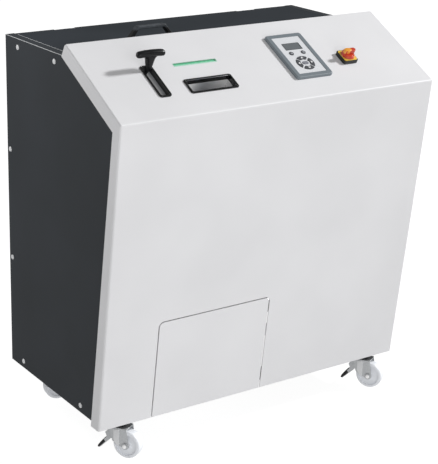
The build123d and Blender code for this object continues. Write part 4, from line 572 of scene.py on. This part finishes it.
# Printed marks on the keys
ARROW_MARK = [(-4.4, -2.3), (4.4, -2.3), (0.5, 3.1), (-0.5, 3.1)]
ARROW_REACH, ROUND_MARK = 19.6, 6.4
MARK_LOW, MARK_HIGH, MARK_SOFT = KEY_LEVEL - 0.2, KEY_LEVEL + 0.15, 0.05
for name, turn in (("up", 0), ("left", 90), ("down", 180), ("right", 270)):
    mark = moved(slab(ARROW_MARK, MARK_LOW, MARK_HIGH, MARK_SOFT),
                 Matrix.Rotation(math.radians(turn), 4, "Z") @ Matrix.Translation((0, ARROW_REACH, 0)))
    piece(f"arrow_mark_{name}", mark, glyph_ink, f"arrow_key_{name}",
          slope_place(CONTROL_X, PAD_DOWN))
for name, side in (("left", -1), ("right", 1)):
    disc = slab(oval(ROUND_MARK, ROUND_MARK), MARK_LOW, MARK_HIGH, MARK_SOFT)
    piece(f"round_mark_{name}", disc, key_print, f"round_key_{name}",
          slope_place(CONTROL_X + side * ROUND_SPREAD / 2, ROUND_DOWN))

# Display: a dark edge round the grey window, painted shade
DISPLAY_SECTIONS = (
    (54.4, 26.5, -0.3), (54.4, 26.5, 0.25), (53.9, 26, 0.4), (50.4, 23.4, 0.3), (49.6, 22.6, -0.3))
edge = rim([(width, height, 0, FACE_LEVEL + level) for width, height, level in DISPLAY_SECTIONS], 60.0, 64)
piece("display_painted_shade_edge", edge, display_shade_rim, "body", slope_place(CONTROL_X, DISPLAY_DOWN), 20)

# Main switch: an amber inlay over the left part of the knob's bar
INLAY_SIZE, INLAY_DEPTH, INLAY_RISE, INLAY_SHIFT = (23, 13.4), 9, 0.3, -6.8
inlay = moved(slab(oval(*INLAY_SIZE, 2.6), KNOB_TOP - INLAY_DEPTH, KNOB_TOP + INLAY_RISE, 0.9),
              Matrix.Translation((INLAY_SHIFT, 0, 0)))
piece("knob_inlay", inlay, index_abs, "switch_knob", slope_place(SWITCH_X, SWITCH_DOWN))

# Shares of a screw head's radius and height, over its dome and down into its recess
HEAD_SECTION = ((0.94, -0.6), (1.0, 0.0), (1.0, 0.25), (0.93, 0.62), (0.75, 0.88), (0.5, 1.0),
                (0.3, 0.97), (0.26, 0.6), (0.08, 0.55))
SIDE_HEAD, REAR_HEAD = (7, 3), (5.5, 2.6)


def pan_head(radius, height):
    """A pan-head screw's head with a round recess, seated on local z 0."""
    section = [(radius * wide, height * tall) for wide, tall in HEAD_SECTION]
    return skin([[(a * r, b * r, z) for a, b in oval(2, 2, 2.0, 36)] for r, z in section])


def seated(shape, place, direction):
    """A shape moved so that its local z points along a direction from a place in millimetres."""
    turn = Vector(direction).to_track_quat("Z", "Y").to_matrix().to_4x4()
    return moved(shape, Matrix.Translation(Vector(place)) @ turn)


whole = Matrix.Scale(MM, 4)
# The screw heads take the zinc with the painted highlight
heads = [seated(pan_head(*SIDE_HEAD), (side * SIDE_X, y, z), (side, 0, 0))
         for side in (-1, 1) for y, z in SIDE_SCREWS]
screws = piece("side_screw_heads", joined(heads), painted_highlight_zinc, "body", whole, 25)
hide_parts("panel_screws")
# The middle column has only its lowest and its highest screw
heads = [seated(pan_head(*REAR_HEAD), (x, REAR_Y, z), (0, 1, 0))
         for x in REAR_SCREWS_X for z in REAR_SCREWS_Z if x or z in (REAR_SCREWS_Z[0], REAR_SCREWS_Z[-1])]
piece("rear_screw_heads", joined(heads), painted_highlight_zinc, "body", whole, 25)

# Rear louvres: a pressed hood over each slot, open below
HOOD_STEPS, HOOD_OVERLAP, HOOD_SINK = 6, 1, 0.2
HOOD_SECTION = ((0, 5.6), (1.4, 4.4), (2.6, 2.2), (3.4, -0.6), (3.6, -3.2), (2.9, -3.2),
                (2.6, -0.6), (1.8, 1.8), (0.8, 3.6), (-0.6, 4.6))
hoods = []
for column in (-1, 1):
    for row in range(LOUVRE_ROWS):
        x = LOUVRE_X + column * LOUVRE_STEP[0] / 2
        z = LOUVRE_Z + (row - (LOUVRE_ROWS - 1) / 2) * LOUVRE_STEP[1]
        rings = []
        for i in range(2 * HOOD_STEPS + 1):
            t = i / HOOD_STEPS - 1
            # Full depth along the hood, drawn in at both ends
            bulge = max(1 - abs(t) ** 8, 0.04) ** 0.5
            section = []
            for out, up in HOOD_SECTION:
                section.append((x + t * (LOUVRE_WIDTH / 2 + HOOD_OVERLAP),
                                REAR_Y - HOOD_SINK + out * bulge, z + up))
            rings.append(section)
        hoods.append(skin(rings))
piece("louvre_hoods", joined(hoods), dark_coat, "body", whole, 40)

# Casters: axle caps and pressed ribs on the forks, and moulded tips on the brake pedals
CAP_SECTION = [(5.2, -1.5), (5.6, 0.2), (5.3, 1.3), (4.2, 2.2), (2.2, 2.7), (0.6, 2.8)]
FORK_RIB = [(-5, 80), (10, 81), (11.5, 79), (11.5, 40), (10, 35.5), (7, 34.5), (-1, 42), (-5, 52)]
RIB_HEIGHT, RIB_SOFT, RIB_SINK = 2.2, 1.4, 0.4
# Reach ahead of the swivel, height, thickness and width
PEDAL_SECTIONS = (
    (-34.5, 36.5, 8.6, 26.6), (-35.5, 35.5, 10.4, 28.4), (-40, 30.6, 10.2, 29.6), (-45, 25, 9.4, 30),
    (-49.5, 19.8, 8.4, 29.6), (-52.6, 16.4, 7.2, 28), (-54.4, 14.4, 4.6, 24.5))
for corner in CASTERS:
    caps = []
    for side in (-1, 1):
        caps.append(seated(turned(CAP_SECTION), (CASTER_TRAIL, WHEEL_RADIUS, side * FORK_OUTSIDE),
                           (0, 0, side)))
    piece(f"axle_caps_{corner}", joined(caps), cap_white, f"fork_{corner}",
          rolling_place(corner), 40)
# Fork ribs: zinc with a painted highlight, brighter than the fork behind
for corner in CASTERS:
    ribs = []
    for side in (-1, 1):
        pressed = moved(slab(FORK_RIB, 0, RIB_HEIGHT, RIB_SOFT),
                        Matrix.Translation((0, 0, FORK_FACE - RIB_SINK)))
        if side < 0:
            pressed = moved(pressed, Matrix.Scale(-1, 4, (0, 0, 1)))
        ribs.append(pressed)
    piece(f"fork_ribs_{corner}", joined(ribs), painted_highlight_zinc, f"fork_{corner}",
          rolling_place(corner), 25)
for corner in ("front_left", "front_right"):
    rings = []
    for ahead, height, thick, wide in PEDAL_SECTIONS:
        c = math.sqrt(0.5)
        rings.append([(ahead - a * c, height + a * c, b) for a, b in oval(thick, wide, 3.4)])
    piece(f"pedal_tip_{corner}", skin(rings), pedal_rubber, f"brake_{corner}",
          rolling_place(corner), 45)

# Camera at the photograph's place
PHOTO = (438, 464)
FOCAL, CENTRE = 1398.57, (183.85, 151.19)
CAMERA_PLACE, CAMERA_AIM = (-2.0728, -2.9913, 1.7367), (-33.32, 15.69, 0.82)
azimuth, elevation, roll = (math.radians(a) for a in CAMERA_AIM)
back = Vector((
    math.sin(azimuth) * math.cos(elevation),
    -math.cos(azimuth) * math.cos(elevation),
    math.sin(elevation),
))
across = Vector((math.cos(azimuth), math.sin(azimuth), 0))
above = back.cross(across)
right = across * math.cos(roll) + above * math.sin(roll)
up = above * math.cos(roll) - across * math.sin(roll)
lens = bpy.data.cameras.new("photograph_lens")
camera = bpy.data.objects.new("photograph_camera", lens)
bpy.context.scene.collection.objects.link(camera)
camera.matrix_world = Matrix.Translation(CAMERA_PLACE) @ Matrix(
    (right, up, back)).transposed().to_4x4()
lens.sensor_width = 36
lens.lens = FOCAL / PHOTO[1] * lens.sensor_width
lens.shift_x = (PHOTO[0] / 2 - CENTRE[0]) / PHOTO[1]
lens.shift_y = (CENTRE[1] - PHOTO[1] / 2) / PHOTO[1]
lens.clip_start, lens.clip_end = 0.05, 60
bpy.context.scene.camera = camera

# Floor: a pale disc, lit from below, brighter to the camera than as a lamp
FLOOR_GLOW = (0.46, 0.95)
FLOOR_RADIUS, FLOOR_SIDES = 14, 96
floor_mesh = bpy.data.meshes.new("studio_floor")
shape = bmesh.new()
border = [shape.verts.new((FLOOR_RADIUS * math.cos(a), FLOOR_RADIUS * math.sin(a), 0))
          for a in (2 * math.pi * i / FLOOR_SIDES for i in range(FLOOR_SIDES))]
shape.faces.new(border)
shape.to_mesh(floor_mesh)
shape.free()
floor = bpy.data.objects.new("studio_floor", floor_mesh)
bpy.context.scene.collection.objects.link(floor)
opal, tree, shader = start("acrylic_opal_lit_from_below")
place = add(tree, "TexCoord", {}).outputs["Object"]
cloud = add(tree, "TexNoise", {"Vector": place, "Scale": per_metre(400), "Detail": 3.0})
tint = add(tree, "Mix", {0: cloud.outputs["Fac"], 6: linear("#828282"), 7: linear("#7C7C7C")},
           data_type="RGBA")
rays = add(tree, "LightPath", {})
seen = add(tree, "MapRange", {"Value": rays.outputs["Is Camera Ray"], "To Min": FLOOR_GLOW[0],
                              "To Max": FLOOR_GLOW[1]})
wire(tree, shader, {"Base Color": tint.outputs[2], "Roughness": 0.9, "Specular IOR Level": 0.1,
                    "Emission Color": (1, 1, 1, 1), "Emission Strength": seen.outputs["Result"]})
floor_mesh.materials.append(opal)

# Light: even white surroundings, a key from the right, a broad fill from the front and a small one
# from behind on the left. Each lamp has a direction, distance, size and power
WORLD_LIGHT, WORLD_SEEN = 0.21, 1.05
LAMPS = {
    "key_light": ((0.76, -0.212, 0.5), 12.0, 1.2, 1350),
    "front_fill": ((-0.25, -1, 0.15), 4.0, 3.0, 56),
    "rear_side_fill": ((-1.4, 1.0, 1.0), 2.0, 0.8, 8),
}
scene = bpy.context.scene
scene.view_settings.view_transform = "Standard"
scene.world = bpy.data.worlds.new("white_studio")
scene.world.use_nodes = True
tree = scene.world.node_tree
tree.nodes.clear()
glow = add(tree, "Background", {"Color": (1, 1, 1, 1), "Strength": WORLD_LIGHT})
seen = add(tree, "Background", {"Color": (1, 1, 1, 1), "Strength": WORLD_SEEN})
rays = add(tree, "LightPath", {})
mixed = add(tree, "MixShader", {0: rays.outputs["Is Camera Ray"], 1: glow.outputs[0], 2: seen.outputs[0]})
add(tree, "OutputWorld", {"Surface": mixed.outputs[0]})

# The point in the machine that every lamp is aimed at
middle = Vector((0, -0.05, 0.6))


def softbox(name, towards, distance, size, power):
    """A square area light at a distance in a direction, turned to the machine."""
    lamp = bpy.data.lights.new(name, "AREA")
    lamp.size = size
    lamp.energy = power
    holder = bpy.data.objects.new(name, lamp)
    scene.collection.objects.link(holder)
    way = Vector(towards).normalized()
    holder.location = middle + way * distance
    holder.rotation_mode = "QUATERNION"
    holder.rotation_quaternion = (-way).to_track_quat("-Z", "Y")


for name, lamp in LAMPS.items():
    softbox(name, *lamp)
